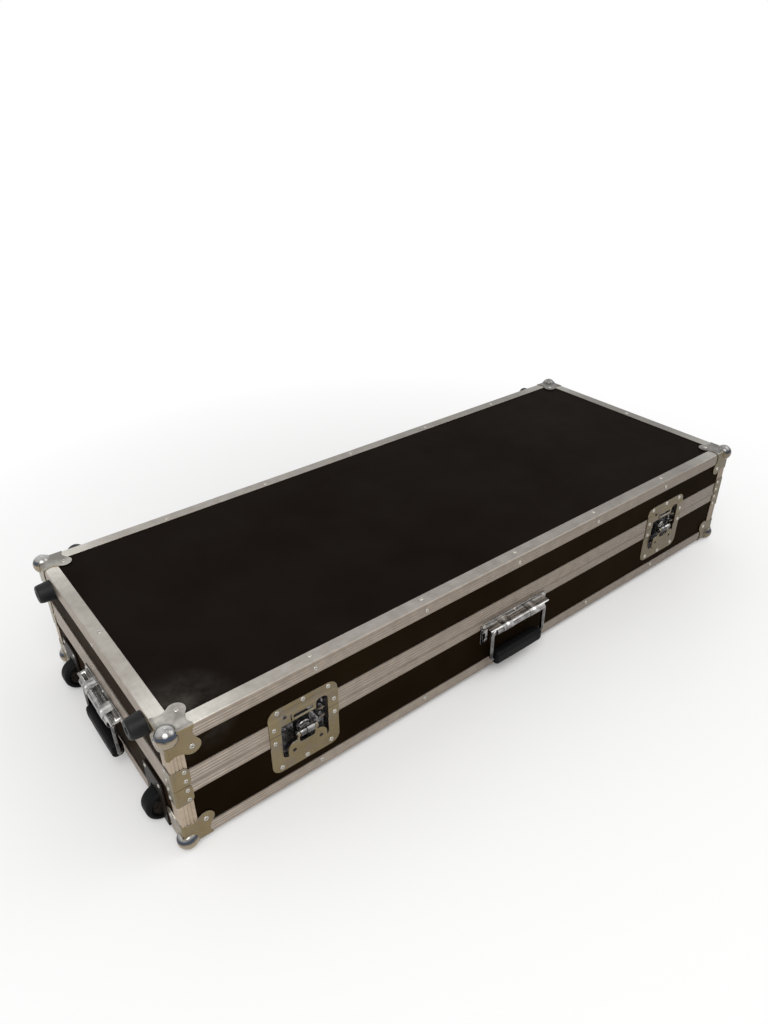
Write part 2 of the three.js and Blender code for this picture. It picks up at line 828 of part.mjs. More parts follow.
// Hook plate: its slot lets the spindle's shaft through, and its waist leaves a T head
function latchHook() {
  const wide = hook.halfWidth;
  const slotHalf = spindle.shaft + fit.running;
  const slotFoot = spindleHeight - hook.travel - slotHalf;
  const y = [hookFront, hookBack];
  const through = [hookFront - fit.overrun, hookBack + fit.overrun];
  const waist = [spindleHeight + hook.neckLow, spindleHeight + hook.neckHigh];
  const plate = block([-wide, wide], y, [slotFoot - hook.foot, spindleHeight + hook.rise]);
  return cut(plate, [
    block([-slotHalf, slotHalf], through, [slotFoot, spindleHeight + slotHalf]),
    block([-wide - fit.overrun, -hook.neckHalf], through, waist),
    block([hook.neckHalf, wide + fit.overrun], through, waist),
  ]);
}

// Wing: a plate with round lobes, two arms that hug the spindle's barrel, and an eye in each
function latchWing() {
  const y = [-spindle.barrelOut - wing.sheet / 2, -spindle.barrelOut + wing.sheet / 2];
  const through = [y[0] - fit.overrun, y[1] + fit.overrun];
  const arm = [spindle.barrelHalf + wing.armGap, spindle.barrelHalf + wing.armGap + wing.armWidth];
  const top = spindleHeight - wing.shoulderDrop;
  const body = roundedRectangle([-wing.halfWidth, wing.halfWidth], [spindleHeight - wing.reach, top],
    wing.corner);
  const notch = roundedRectangle([-arm[0], arm[0]], [spindleHeight - wing.notchDrop, spindleHeight],
    wing.notchCorner);
  const cross = [-spindle.barrelOut, spindleHeight];
  const parts = [extrude(body, 'y', ...y, wing.cornerSteps)];
  const cuts = [extrude(notch, 'y', ...through, wing.cornerSteps)];
  for (const side of [-1, 1]) {
    const span = arm.map((at) => at * side).sort((a, b) => a - b);
    parts.push(block(span, y, [spindleHeight - wing.armFoot, spindleHeight]));
    parts.push(rod('x', wing.eye, ...span, cross, wing.eyeSides));
    cuts.push(rod('y', wing.fingerHole, ...through,
      [side * wing.fingerHoleX, spindleHeight - wing.fingerHoleDrop], wing.holeSides));
  }
  cuts.push(rod('x', spindle.pin + fit.running, -wing.halfWidth, wing.halfWidth, cross, spindle.pinSides));
  return cut(joined(parts), cuts);
}

// Both latches, left and right of the middle
function buildLatches() {
  const pieces = [
    ['dish', latchDish(), finishes.zinc],
    ['keeper', latchKeeper(), finishes.zinc],
    ['spindle', latchSpindle(), finishes.chrome],
    ['hook', latchHook(), finishes.steel],
    ['wing', latchWing(), finishes.zinc],
  ];
  ['left', 'right'].forEach((side, i) => {
    const spot = new THREE.Group();
    spot.position.set(latchSpots[i], -half.y, 0);
    group.add(spot);
    pieces.forEach(([name, solid, finish]) => add(`latch_${name}_${side}`, solid, finish, spot));
  });
}

// Point at a turn from straight up towards the front, round the handle's axis
function roundAxis(radius, degrees) {
  const angle = THREE.MathUtils.degToRad(degrees);
  return p(-handle.axisOut - radius * Math.sin(angle), handleAxis + radius * Math.cos(angle));
}

// Hood over the bail: a shelf from the plate that rolls over the axis down to a turn
function hoodShape(endTurn) {
  const inner = handle.wire + handle.hoodRoom;
  const outer = inner + handle.hoodSheet;
  const root = -handle.sheet + fit.sink;
  const rootHeight = handleAxis + outer + handle.hoodRise;
  const top = [p(root, rootHeight)];
  const under = [p(root, rootHeight - handle.hoodSheet)];
  for (let i = 0; i <= handle.hoodSteps; i += 1) {
    const turn = endTurn * (i / handle.hoodSteps);
    top.push(roundAxis(outer, turn));
    under.push(roundAxis(inner, turn));
  }
  return new THREE.Shape([...top, ...under.reverse()]);
}

// Bore round the bail's bar, whose section is eight-sided
const barCorner = handle.wire / Math.cos(Math.PI / 8);
const barBore = barCorner + fit.running;
const axisPlace = [-handle.axisOut, handleAxis];

// Plate of a handle with its two ears, the hood and the collars that carry the bail
function handlePlate() {
  const side = handle.width / 2;
  const seat = edge.metal;
  const steps = handle.cornerSteps;
  const rise = [shell.parting - handle.flangeFootDrop, shell.parting - handle.flangeTopDrop];
  const flange = roundedRectangle([-side, side], rise, handle.flangeCorner);
  const parts = [
    extrude(flange, 'y', -handle.sheet, 0, steps),
    extrude(hoodShape(handle.shelfTurn), 'x', -handle.shelfHalf, handle.shelfHalf),
    extrude(hoodShape(handle.rollTurn), 'x', -rollHalf, rollHalf),
  ];
  const cuts = [];
  for (const sign of [-1, 1]) {
    const middle = sign * (side - handle.earWidth / 2);
    const wide = [middle - handle.earWidth / 2, middle + handle.earWidth / 2];
    const ear = roundedRectangle(wide, [shell.parting - handle.earFootDrop, plane.baseBandFoot - fit.seam],
      handle.earCorner);
    const slot = roundedRectangle([middle - handle.slotWidth / 2, middle + handle.slotWidth / 2],
      [shell.parting - handle.slotFootDrop, shell.parting - handle.slotTopDrop], handle.slotWidth / 2);
    parts.push(extrude(ear, 'y', seat - handle.sheet, seat, steps));
    cuts.push(extrude(slot, 'y', -fit.overrun, seat + fit.overrun, steps));
    const collar = [sign * handle.collarAt - handle.collarWidth / 2, sign * handle.collarAt
      + handle.collarWidth / 2];
    parts.push(rod('x', handle.collar, ...collar, axisPlace, handle.boreSides));
  }
  cuts.push(rod('x', barBore, -side, side, axisPlace, handle.boreSides));
  return cut(joined(parts), cuts);
}

// Bail: a closed loop of bar with chamfered edges
function handleBail() {
  const chamfer = handle.wire * (1 - Math.tan(Math.PI / 8));
  const low = handleAxis - handle.drop;
  const x = handle.armHalf;
  const loop = (grow, radius) => roundedRectangle([-x - grow, x + grow],
    [low - grow, handleAxis + grow], radius);
  const outline = loop(handle.wire, handle.elbow);
  outline.holes.push(loop(-handle.wire, handle.elbow - 2 * handle.wire));
  const geometry = new THREE.ExtrudeGeometry(outline, {
    depth: 2 * (handle.wire - chamfer),
    bevelThickness: chamfer,
    bevelSize: chamfer,
    bevelOffset: -chamfer,
    bevelSegments: 1,
    curveSegments: handle.elbowSteps,
  });
  const middle = handle.wire - chamfer;
  return solidOf(remap(geometry, (u, v, t) => [u, middle - t - handle.axisOut, v]));
}

// Moulded grip round the bail's lower bar
function handleGrip() {
  const low = handleAxis - handle.drop;
  const y = [-handle.axisOut - handle.gripDepth / 2, -handle.axisOut + handle.gripDepth / 2];
  const outline = roundedRectangle(y, [low - handle.gripHeight / 2, low + handle.gripHeight / 2],
    handle.gripRound);
  const geometry = new THREE.ExtrudeGeometry(outline, {
    depth: 2 * (gripHalf - handle.gripBevel),
    bevelThickness: handle.gripBevel,
    bevelSize: handle.gripBevel,
    bevelOffset: -handle.gripBevel,
    bevelSegments: handle.gripBevelSteps,
    curveSegments: handle.gripSteps,
  });
  const middle = gripHalf - handle.gripBevel;
  const body = solidOf(remap(geometry, (u, v, t) => [t - middle, u, v]));
  const bore = rod('x', barBore, -handle.armHalf, handle.armHalf, [-handle.axisOut, low], handle.boreSides);
  return body.subtract(bore);
}

// Handles on the front and on the left end, both over the joint's lower band
function buildHandles() {
  const spots = { front: [0, -half.y, 0], end: [-half.x, 0, -Math.PI / 2] };
  const pieces = [
    ['plate', handlePlate(), finishes.zinc],
    ['bail', handleBail(), finishes.chrome],
    ['grip', handleGrip(), finishes.rubber],
  ];
  Object.entries(spots).forEach(([name, [x, y, turn]]) => {
    const spot = new THREE.Group();
    spot.position.set(x, y, 0);
    spot.rotation.z = turn;
    group.add(spot);
    pieces.forEach(([piece, solid, finish]) => add(`${name}_handle_${piece}`, solid, finish, spot));
  });
}

// Wheel: a rounded tread, a dished face on each side, and a bore for the axle
function tiltWheel() {
  const side = wheel.width / 2;
  const bore = wheel.axle + fit.running;
  const shoulder = [];
  for (let i = 0; i <= wheel.treadSteps; i += 1) {
    const angle = (Math.PI / 2) * (i / wheel.treadSteps);
    const out = wheel.radius - wheel.tread * (1 - Math.sin(angle));
    shoulder.push(p(out, side - wheel.tread * (1 - Math.cos(angle))));
  }
  const face = [p(bore, side), p(wheel.dishInner, side), p(wheel.dishInner, side - wheel.dish),
    p(wheel.dishOuter, side - wheel.dish), p(wheel.dishOuter, side), ...shoulder];
  const mirrored = face.map((at) => p(at.x, -at.y)).reverse();
  const profile = [...face, ...mirrored, face[0].clone()];
  return solidOf(new THREE.LatheGeometry(profile, wheel.sides));
}

// Housing of a wheel: a pocket let into the edge, with a flange on the end and one underneath
function wheelHousing() {
  const side = wheel.flangeHalf;
  const wall = wheel.wall;
  const outline = roundedRectangle([-side, side], [-wall, wheel.flangeTop], wheel.flangeCorner);
  const under = roundedRectangle([-wall, wheel.flangeUnder], [-side, side], wheel.flangeCorner);
  const body = joined([
    extrude(outline, 'x', -wall, 0, wheel.flangeCornerSteps),
    extrude(under, 'z', -wall, 0, wheel.flangeCornerSteps),
    block([-wall, pocket.outerDepth], [-pocket.outerHalf, pocket.outerHalf], [-wall, pocket.outerTop]),
  ]);
  return cut(body, [
    block([-2 * wall, pocket.depth], [-pocket.halfWidth, pocket.halfWidth], [-2 * wall, pocket.top]),
    rod('y', wheel.axle + fit.running, -side, side, [wheel.setIn, wheel.height], wheel.axleSides),
  ]);
}

// Both tilt wheels with their axles and housings
function buildWheels() {
  const axle = rod('y', wheel.axle, -pocket.outerHalf, pocket.outerHalf, [0, 0], wheel.axleSides);
  const pieces = { housing: wheelHousing(), tyre: tiltWheel() };
  ['front', 'back'].forEach((side, i) => {
    const spot = new THREE.Group();
    spot.position.set(-half.x, wheelAt[i], 0);
    group.add(spot);
    add(`wheel_housing_${side}`, pieces.housing, finishes.plastic, spot);
    const turning = add(`wheel_${side}`, pieces.tyre, finishes.rubber, spot);
    const fixed = add(`wheel_axle_${side}`, axle, finishes.steel, spot);
    turning.position.set(wheel.setIn, 0, wheel.height);
    fixed.position.set(wheel.setIn, 0, wheel.height);
  });
}

// Rubber foot standing on its base, with a well for its screw
function rubberFoot() {
  const profile = [
    p(0, 0), p(foot.base, 0), p(foot.base, foot.rim), p(foot.tip, foot.height - foot.round),
    p(foot.tip - foot.round, foot.height), p(foot.well, foot.height),
    p(foot.well, foot.height - foot.wellDepth), p(0, foot.height - foot.wellDepth),
  ];
  return solidOf(new THREE.LatheGeometry(profile, foot.sides));
}

// Four feet on the lid: two on its left end and two on its back
function buildFeet() {
  const solid = rubberFoot();
  const height = shell.height - foot.drop;
  const endY = half.y - leafReach - foot.endLeafGap - foot.base;
  const backX = half.x - leafReach - foot.backLeafGap - foot.base;
  const places = {
    end_foot_front: [-half.x, -endY, Math.PI / 2],
    end_foot_back: [-half.x, endY, Math.PI / 2],
    back_foot_left: [-backX, half.y, 0],
    back_foot_right: [backX, half.y, 0],
  };
  Object.entries(places).forEach(([name, [x, y, turn]]) => {
    const mesh = add(name, solid, finishes.rubber);
    mesh.position.set(x, y, height);
    mesh.rotation.z = turn;
  });
}

// One leaf of a back hinge with its share of the knuckles, and room for the other leaf's
function hingeLeaf(low, high, first) {
  const side = hinge.width / 2;
  const pitch = hinge.width / hinge.knuckles;
  const clear = hinge.barrel + fit.running;
  const parts = [block([-side, side], [0, hinge.sheet], [low, high])];
  const bore = [-side - fit.overrun, side + fit.overrun];
  const cuts = [rod('x', hinge.pin + fit.running, ...bore, hingeAxis, hinge.sides)];
  const rise = [hingeAxis[1] - clear, hingeAxis[1] + clear];
  for (let i = 0; i < hinge.knuckles; i += 1) {
    const start = -side + pitch * i;
    const end = start + pitch;
    if (i % 2 === first) {
      const knuckle = [start + fit.seam / 2, end - fit.seam / 2];
      parts.push(rod('x', hinge.barrel, ...knuckle, hingeAxis, hinge.sides));
    } else {
      const span = [start - fit.seam / 2, end + fit.seam / 2];
      cuts.push(block(span, [-fit.overrun, hingeAxis[0] + clear], rise));
    }
  }
  return cut(joined(parts), cuts);
}

// Hinge pin with a head at each end
function hingePin() {
  const side = hinge.width / 2 + fit.seam;
  return joined([
    rod('x', hinge.pin, -side, side, hingeAxis, hinge.sides),
    rod('x', hinge.pinHead, side, side + hinge.pinHeadSheet, hingeAxis, hinge.sides),
    rod('x', hinge.pinHead, -side - hinge.pinHeadSheet, -side, hingeAxis, hinge.sides),
  ]);
}

// Both back hinges
function buildHinges() {
  const pieces = {
    base_leaf: hingeLeaf(shell.parting - hinge.baseLeaf, shell.parting, 0),
    lid_leaf: hingeLeaf(plane.lidStart, plane.lidStart + hinge.lidLeaf, 1),
    pin: hingePin(),
  };
  ['left', 'right'].forEach((side, i) => {
    const spot = new THREE.Group();
    spot.position.set((2 * i - 1) * (half.x - hinge.inset), half.y, 0);
    group.add(spot);
    Object.entries(pieces).forEach(([name, solid]) => {
      add(`hinge_${name}_${side}`, solid, finishes.zinc, spot);
    });
  });
}

buildBaseBoards();
buildLidBoards();
buildEdges();
buildRim('base_rim', baseRimSection(), braces(
  [shell.parting - brace.baseDrop, shell.parting],
  [plane.baseBandFoot, shell.parting],
  [-fit.overrun, leafReach + fit.seam],
));
buildRim('lid_rim', lidRimSection(), braces(
  [plane.lidStart, shell.parting + brace.lidRise],
  [plane.lidStart, plane.lidBandTop],
  [shell.height - leafReach - fit.seam, shell.height + fit.overrun],
));
buildCorners();
buildFoam();
buildLatches();
buildHandles();
buildWheels();
buildFeet();
buildHinges();

// The case stands with the middle of its bounding box's underside at the origin
const bounds = new THREE.Box3().setFromObject(group, true);
const centre = bounds.getCenter(new THREE.Vector3());
group.position.set(-centre.x, -centre.y, -bounds.min.z);

export default group;
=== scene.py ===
"""Looks of the keyboard hard case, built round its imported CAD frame.

Shapes are drawn in millimetres in the case's own frame: the origin is at the middle of the
aluminium box's underside, +X runs along the case, +Y to the back and +Z up. A piece that lies on
a face is drawn as seen from outside: across, up and out from that face.
"""

import math

import bmesh
import bpy
from mathutils import Matrix, Vector
from mathutils.geometry import tessellate_polygon


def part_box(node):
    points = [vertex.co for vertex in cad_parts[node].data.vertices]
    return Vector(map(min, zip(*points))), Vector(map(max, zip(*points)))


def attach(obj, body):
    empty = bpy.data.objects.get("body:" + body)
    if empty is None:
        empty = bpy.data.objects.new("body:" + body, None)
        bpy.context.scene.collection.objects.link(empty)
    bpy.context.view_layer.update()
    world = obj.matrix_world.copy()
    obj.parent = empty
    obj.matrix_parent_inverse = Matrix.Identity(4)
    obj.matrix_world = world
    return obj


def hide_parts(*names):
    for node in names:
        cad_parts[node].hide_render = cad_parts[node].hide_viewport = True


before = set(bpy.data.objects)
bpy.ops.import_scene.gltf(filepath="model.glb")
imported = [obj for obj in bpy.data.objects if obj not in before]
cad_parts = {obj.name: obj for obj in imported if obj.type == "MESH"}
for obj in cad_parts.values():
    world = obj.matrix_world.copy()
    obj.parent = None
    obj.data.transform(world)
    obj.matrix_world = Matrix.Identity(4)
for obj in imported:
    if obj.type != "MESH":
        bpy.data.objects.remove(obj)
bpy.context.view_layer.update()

# The box, read from the frame
MM = 0.001
BASE_LOW, BASE_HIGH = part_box("base_edge_frame")
LID_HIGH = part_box("lid_edge_frame")[1]
ORIGIN = Vector(((BASE_LOW.x + BASE_HIGH.x) / 2, (BASE_LOW.y + BASE_HIGH.y) / 2, BASE_LOW.z))
HALF_X = (BASE_HIGH.x - BASE_LOW.x) / 2 / MM
HALF_Y = (BASE_HIGH.y - BASE_LOW.y) / 2 / MM
HEIGHT = (LID_HIGH.z - BASE_LOW.z) / MM
METAL = 1.5
BOARD = 7.0
SEAM = 0.3
GAP = 0.5
PARTING = (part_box("base_front_panel")[1].z - BASE_LOW.z) / MM + METAL
LID_START = PARTING + GAP
INNER = METAL + BOARD

# Profiles
LEG = 22.0
NOSE = 3.0
GROOVE_DEPTH = 0.7
GROOVE_WIDTH = 2.0
BASE_BAND = 16.0
LID_BAND = 26.0
INNER_FLANGE = 9.0

# Pressed sheet
SHEET = 1.2
FOLD = NOSE

# Rivets, and the shape of a rivet's head as (radius, height) points
RIVET = 4.0
EDGE_RIVET = 3.6
BRACE_RIVET = 3.3
HINGE_RIVET = 2.8
RIVET_PROFILE = [(1.0, -0.3), (1.0, 0.1), (0.95, 0.45), (0.84, 0.85), (0.7, 1.18), (0.56, 1.36),
                 (0.44, 1.38), (0.36, 1.2), (0.3, 0.7), (0.28, 0.1), (0.0, 0.0)]

# Each face: the direction across it, the direction out of it and its distance from the origin
SIDES = {
    "front": ((1, 0, 0), (0, -1, 0), HALF_Y),
    "back": ((-1, 0, 0), (0, 1, 0), HALF_Y),
    "left": ((0, -1, 0), (-1, 0, 0), HALF_X),
    "right": ((0, 1, 0), (1, 0, 0), HALF_X),
    "top": ((1, 0, 0), (0, 0, 1), HEIGHT),
    "under": ((1, 0, 0), (0, 0, -1), 0.0),
}

# Each corner: its signs along x and y, and the names of its end and of its long side
CORNERS = [(-1, -1, "left", "front"), (1, -1, "right", "front"), (1, 1, "right", "back"),
           (-1, 1, "left", "back")]


def middle_of(node):
    """Middle of a CAD node, in the case's own frame."""
    low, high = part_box(node)
    return ((low + high) / 2 - ORIGIN) / MM


WHEEL_Y = abs(middle_of("wheel_front").y)
LATCH_X = abs(middle_of("latch_dish_left").x)


def on_face(side, along=0.0, up=0.0, out=0.0):
    """Matrix from (across, up, out) at a place on a face to the case's frame."""
    across, outward, reach = SIDES[side]
    across, outward = Vector(across), Vector(outward)
    rise = outward.cross(across)
    matrix = Matrix((across, rise, outward)).transposed().to_4x4()
    matrix.translation = outward * (reach + out) + across * along + rise * up
    return matrix


# Parts are (vertices, faces)
def placed(part, matrix):
    return [matrix @ Vector(v) for v in part[0]], part[1]


def mapped(part, place):
    return [Vector(place(*v)) for v in part[0]], part[1]


def merged(parts):
    verts, faces = [], []
    for more_verts, more_faces in parts:
        start = len(verts)
        verts.extend(more_verts)
        faces.extend(tuple(start + i for i in face) for face in more_faces)
    return verts, faces


def arc(start, end, steps):
    """Cosines and sines at even steps from one angle to another, in degrees."""
    angles = [math.radians(start + (end - start) * k / steps) for k in range(steps + 1)]
    return [(math.cos(a), math.sin(a)) for a in angles]


def around(sides):
    """Cosines and sines at even steps round a circle."""
    return arc(0, 360, sides)[:-1]


def outline(corners, steps=5):
    """Closed outline through (across, up, radius) corners, each rounded by its radius."""
    points = []
    for i, (x, y, radius) in enumerate(corners):
        here = Vector((x, y))
        if not radius:
            points.append(here)
            continue
        back = (Vector(corners[i - 1][:2]) - here).normalized()
        on = (Vector(corners[(i + 1) % len(corners)][:2]) - here).normalized()
        half = back.angle(on) / 2
        centre = here + (back + on).normalized() * (radius / math.sin(half))
        start = here + back * (radius / math.tan(half)) - centre
        end = here + on * (radius / math.tan(half)) - centre
        turn = math.atan2(start.x * end.y - start.y * end.x, start.dot(end))
        for c, s in arc(0, math.degrees(turn), steps):
            points.append(centre + Vector((start.x * c - start.y * s, start.x * s + start.y * c)))
    return points


def rectangle(x0, x1, y0, y1, radius=0.0, steps=5):
    return outline([(x0, y0, radius), (x1, y0, radius), (x1, y1, radius), (x0, y1, radius)], steps)


def circle(x, y, radius):
    """Hole outline, clockwise."""
    return [Vector((x + radius * c, y - radius * s)) for c, s in around(20)]


def inset(loop, distance):
    """Moves an anticlockwise outline inwards, or a clockwise hole outwards."""
    moved = []
    for i, here in enumerate(loop):
        before = (here - loop[i - 1]).normalized()
        after = (loop[(i + 1) % len(loop)] - here).normalized()
        left = Vector((-before.y - after.y, before.x + after.x))
        moved.append(here + left * (distance / max(0.3, 1 + before.dot(after))))
    return moved


def strip(low, high, count, closed=True):
    """Faces between two rows of points, which start at low and at high."""
    faces = []
    for k in range(count if closed else count - 1):
        j = (k + 1) % count
        faces.append((low + k, low + j, high + j, high + k))
    return faces


def net(rows, count, closed=True):
    """Faces between rows of points that follow one another."""
    faces = []
    for low in range(0, (rows - 1) * count, count):
        faces += strip(low, low + count, count, closed)
    return faces


def stacked(rings, capped=True):
    """Skin over rings of loops. Each ring is a list of loops of 3-D points."""
    verts = [point for loops in rings for loop in loops for point in loop]
    size = sum(len(loop) for loop in rings[0])
    faces = []
    for start in range(0, len(verts) - size, size):
        for loop in rings[0]:
            faces += strip(start, start + size, len(loop))
            start += len(loop)
    if capped:
        for start, loops in ((0, rings[0]), (len(verts) - size, rings[-1])):
            faces += [tuple(start + i for i in triangle) for triangle in tessellate_polygon(loops)]
    return verts, faces


def plate(loops, thick, round_edge=0.4, both=False, steps=2, back=0.0):
    """Plate with rounded front edges, from an outer loop and clockwise holes."""
    front = [(round_edge * (1 - c), thick - round_edge * (1 - s)) for c, s in arc(0, 90, steps)]
    rear = [(at, thick - height) for at, height in reversed(front)] if both else [(0.0, 0.0)]
    rings = []
    for at, height in rear + front:
        rings.append([[Vector((p.x, p.y, back + height)) for p in inset(loop, at)] for loop in loops])
    return stacked(rings)


def prism(section, start, end):
    """Outline of (out, up) points run across from start to end."""
    return stacked([[[Vector((x, p.y, p.x)) for p in section]] for x in (start, end)])


def lathe(profile, sides=24):
    """Turned part round the outward axis, from (radius, out) points."""
    rings = [[[Vector((radius * c, radius * s, out)) for c, s in around(sides)]] for radius, out in profile]
    return stacked(rings, capped=False)


def mirrored(profile):
    """Profile of (radius, out) points, followed by its mirror image."""
    return profile + [(radius, -out) for radius, out in reversed(profile)]


def sleeve(bore, land, outer, width):
    """Turned sleeve with chamfered ends."""
    half = [(bore, -width / 2), (land, -width / 2), (outer, -width / 2 + 0.5)]
    return lathe(mirrored(half) + half[:1], 28)


def tube(path, radius, sides=12, closed=False):
    """Round bar along a path of points."""
    count = len(path)
    rings = []
    normal = None
    for i, here in enumerate(path):
        before = path[i - 1] if closed or i else here
        after = path[(i + 1) % count] if closed or i < count - 1 else here
        along = (after - before).normalized()
        if normal is None:
            normal = along.orthogonal().normalized()
        normal = (normal - along * normal.dot(along)).normalized()
        side = along.cross(normal)
        rings.append([[here + (normal * c + side * s) * radius for c, s in around(sides)]])
    if closed:
        return stacked(rings + rings[:1], capped=False)
    return stacked(rings)


def crosswise(part, across=0.0, up=0.0, out=0.0):
    """Turns a lathed part so that its axis runs across the face."""
    return mapped(part, lambda x, y, z: (across + z, up + y, out - x))


def ridged(low, high, ridges):
    """Points of a ridged vertical face from one height to another, as (inset, height)."""
    points = [Vector((0, low))]
    pitch = (high - low) / ridges
    width = math.copysign(GROOVE_WIDTH, pitch)
    steps = 6
    for i in range(1, ridges):
        for k, (c, _) in enumerate(arc(0, 360, steps)):
            height = low + pitch * i + width * (k / steps - 0.5)
            points.append(Vector((GROOVE_DEPTH * (1 - c) / 2, height)))
    points.append(Vector((0, high)))
    return points


def band(section, path, closed=False):
    """Sweeps a section of (inset, height) points along places that give x and y for an inset."""
    rings = [[[Vector((*place(p.x), p.y)) for p in section]] for place in path]
    if not closed:
        return stacked(rings)
    return stacked(rings + rings[:1], capped=False)


def mitre(sx, sy):
    return lambda inset_by: (sx * (HALF_X - inset_by), sy * (HALF_Y - inset_by))


def front_end(x):
    return lambda inset_by: (x, -(HALF_Y - inset_by))


def left_end(y):
    return lambda inset_by: (-(HALF_X - inset_by), y)


def at_corner(sx, sy, top=False):
    """Place in the case's frame for distances inwards from the three faces at a corner."""
    return lambda a, b, c: (sx * (HALF_X - a), sy * (HALF_Y - b), HEIGHT - c if top else c)


# Nodes of materials
class Nodes:
    """Adds nodes to a tree and links them. A colour is given as three numbers."""

    def __init__(self, tree):
        self.tree = tree

    def add(self, kind, inputs=(), **settings):
        node = self.tree.nodes.new(kind)
        for name, value in settings.items():
            setattr(node, name, value)
        for name, value in dict(inputs).items():
            self.give(node.inputs[name], value)
        return node

    def give(self, socket, value):
        if isinstance(value, bpy.types.NodeSocket):
            self.tree.links.new(value, socket)
        else:
            socket.default_value = (*value, 1.0) if socket.type == "RGBA" else value

    def math(self, operation, first, second=0.0, clamp=False):
        inputs = {0: first, 1: second}
        return self.add("ShaderNodeMath", inputs, operation=operation, use_clamp=clamp).outputs[0]

    def times(self, first, second):
        return self.math("MULTIPLY", first, second)

    def ramp(self, value, low, high, start=0.0, end=1.0):
        """Maps a value from one range to another, held at both ends."""
        limits = {"From Min": low, "From Max": high, "To Min": start, "To Max": end}
        return self.add("ShaderNodeMapRange", {"Value": value, **limits}).outputs[0]

    def seen(self):
        """1 for the rays that see the background itself or its image in a shiny piece."""
        rays = self.add("ShaderNodeLightPath").outputs
        total = self.math("ADD", rays["Is Camera Ray"], rays["Is Glossy Ray"], clamp=True)
        return self.math("ADD", total, rays["Is Transmission Ray"], clamp=True)


class Shader(Nodes):
    """A new material and the values that its looks are made from."""

    def __init__(self, name, **values):
        self.material = bpy.data.materials.new(name)
        self.material.use_nodes = True
        super().__init__(self.material.node_tree)
        self.surface = self.tree.nodes["Principled BSDF"]
        for socket, value in values.items():
            self.give(self.surface.inputs[socket.replace("_", " ")], value)
        self.coordinates = self.add("ShaderNodeTexCoord").outputs
        self.place = self.coordinates["Object"]

    def noise(self, scale, detail=3.0, roughness=0.55, place=None, distortion=0.0):
        return self.add("ShaderNodeTexNoise", {
            "Vector": place or self.place, "Scale": scale, "Detail": detail,
            "Roughness": roughness, "Distortion": distortion,
        }).outputs["Fac"]

    def streaks(self, factors, detail=3.0, roughness=0.6):
        """Noise that is finer along some axes than along others."""
        node = self.add("ShaderNodeVectorMath", {0: self.place, 1: factors}, operation="MULTIPLY")
        return self.noise(1.0, detail, roughness, node.outputs[0])

    def mix(self, share, first, second):
        inputs = {"Factor": share, "A": first, "B": second}
        return self.add("ShaderNodeMix", inputs, data_type="RGBA").outputs["Result"]

    def bump(self, height, strength, distance, **more):
        inputs = {"Height": height, "Strength": strength, "Distance": distance, **more}
        return self.add("ShaderNodeBump", inputs).outputs["Normal"]

    def rough(self, value, low, high):
        """Roughness that follows a noise, which mostly stays between 0.3 and 0.7."""
        return self.ramp(value, 0.3, 0.7, low, high)

    def end(self, color, roughness, normal=None):
        for name, value in (("Base Color", color), ("Roughness", roughness), ("Normal", normal)):
            if value is not None:
                self.give(self.surface.inputs[name], value)
        return self.material

    def from_middle(self):
        """Place in metres from the middle of the case's underside, split into x, y and z."""
        node = self.add("ShaderNodeVectorMath", {0: self.place, 1: ORIGIN}, operation="SUBTRACT")
        return self.add("ShaderNodeSeparateXYZ", {0: node.outputs[0]}).outputs

    def facing(self, axis):
        """How far a surface faces along an axis: 1 straight on, 0 across it and -1 away."""
        return self.add("ShaderNodeSeparateXYZ", {0: self.coordinates["Normal"]}).outputs[axis]

    def painted_top_light(self):
        """Share of a surface that faces up, which takes a finish's painted top-lit tone in place of its
        side tone.
        """
        return self.ramp(self.facing(2), 0.45, 0.9)

    def peak(self, value, low, top, high):
        """Share that rises from low to top and falls again to high."""
        return self.math("MINIMUM", self.ramp(value, low, top), self.ramp(value, high, top))

    def darker_to_right(self, tone):
        """Tone that gets darker towards the right end, as in the photograph."""
        share = self.ramp(self.from_middle()[0], -0.55, 0.60, 0.0, 0.42)
        return self.mix(share, tone, (0.020, 0.018, 0.018))

    def from_faces(self):
        """Distances in metres inwards from the nearer end and from the nearer long side."""
        x, y, _ = self.from_middle()
        end = self.math("SUBTRACT", HALF_X * MM, self.math("ABSOLUTE", x))
        return end, self.math("SUBTRACT", HALF_Y * MM, self.math("ABSOLUTE", y))

    def on_end(self):
        """1 nearer to an end of the case than to a long side."""
        return self.math("LESS_THAN", *self.from_faces())

    def on_upright(self):
        """1 at the heights of the corners' uprights."""
        height, margin = self.from_middle()[2], 0.2
        shares = []
        for low, high in ((LEG, PARTING - BASE_BAND), (PARTING + LID_BAND, HEIGHT - LEG)):
            above = self.math("GREATER_THAN", height, (low + margin) * MM)
            shares.append(self.times(above, self.math("LESS_THAN", height, (high - margin) * MM)))
        return self.math("ADD", *shares, clamp=True)

    def in_pan_painted_light(self):
        """Share that is 1 inside the latches' pans, where the recess's painted shade and reflections go."""
        shallow, deep, back, end = 0.0015, 0.005, 0.03, 0.1
        behind = self.math("ADD", self.from_middle()[1], HALF_Y * MM)
        near = self.times(self.ramp(behind, shallow, deep), self.math("LESS_THAN", behind, back))
        return self.times(near, self.math("GREATER_THAN", self.from_faces()[0], end))


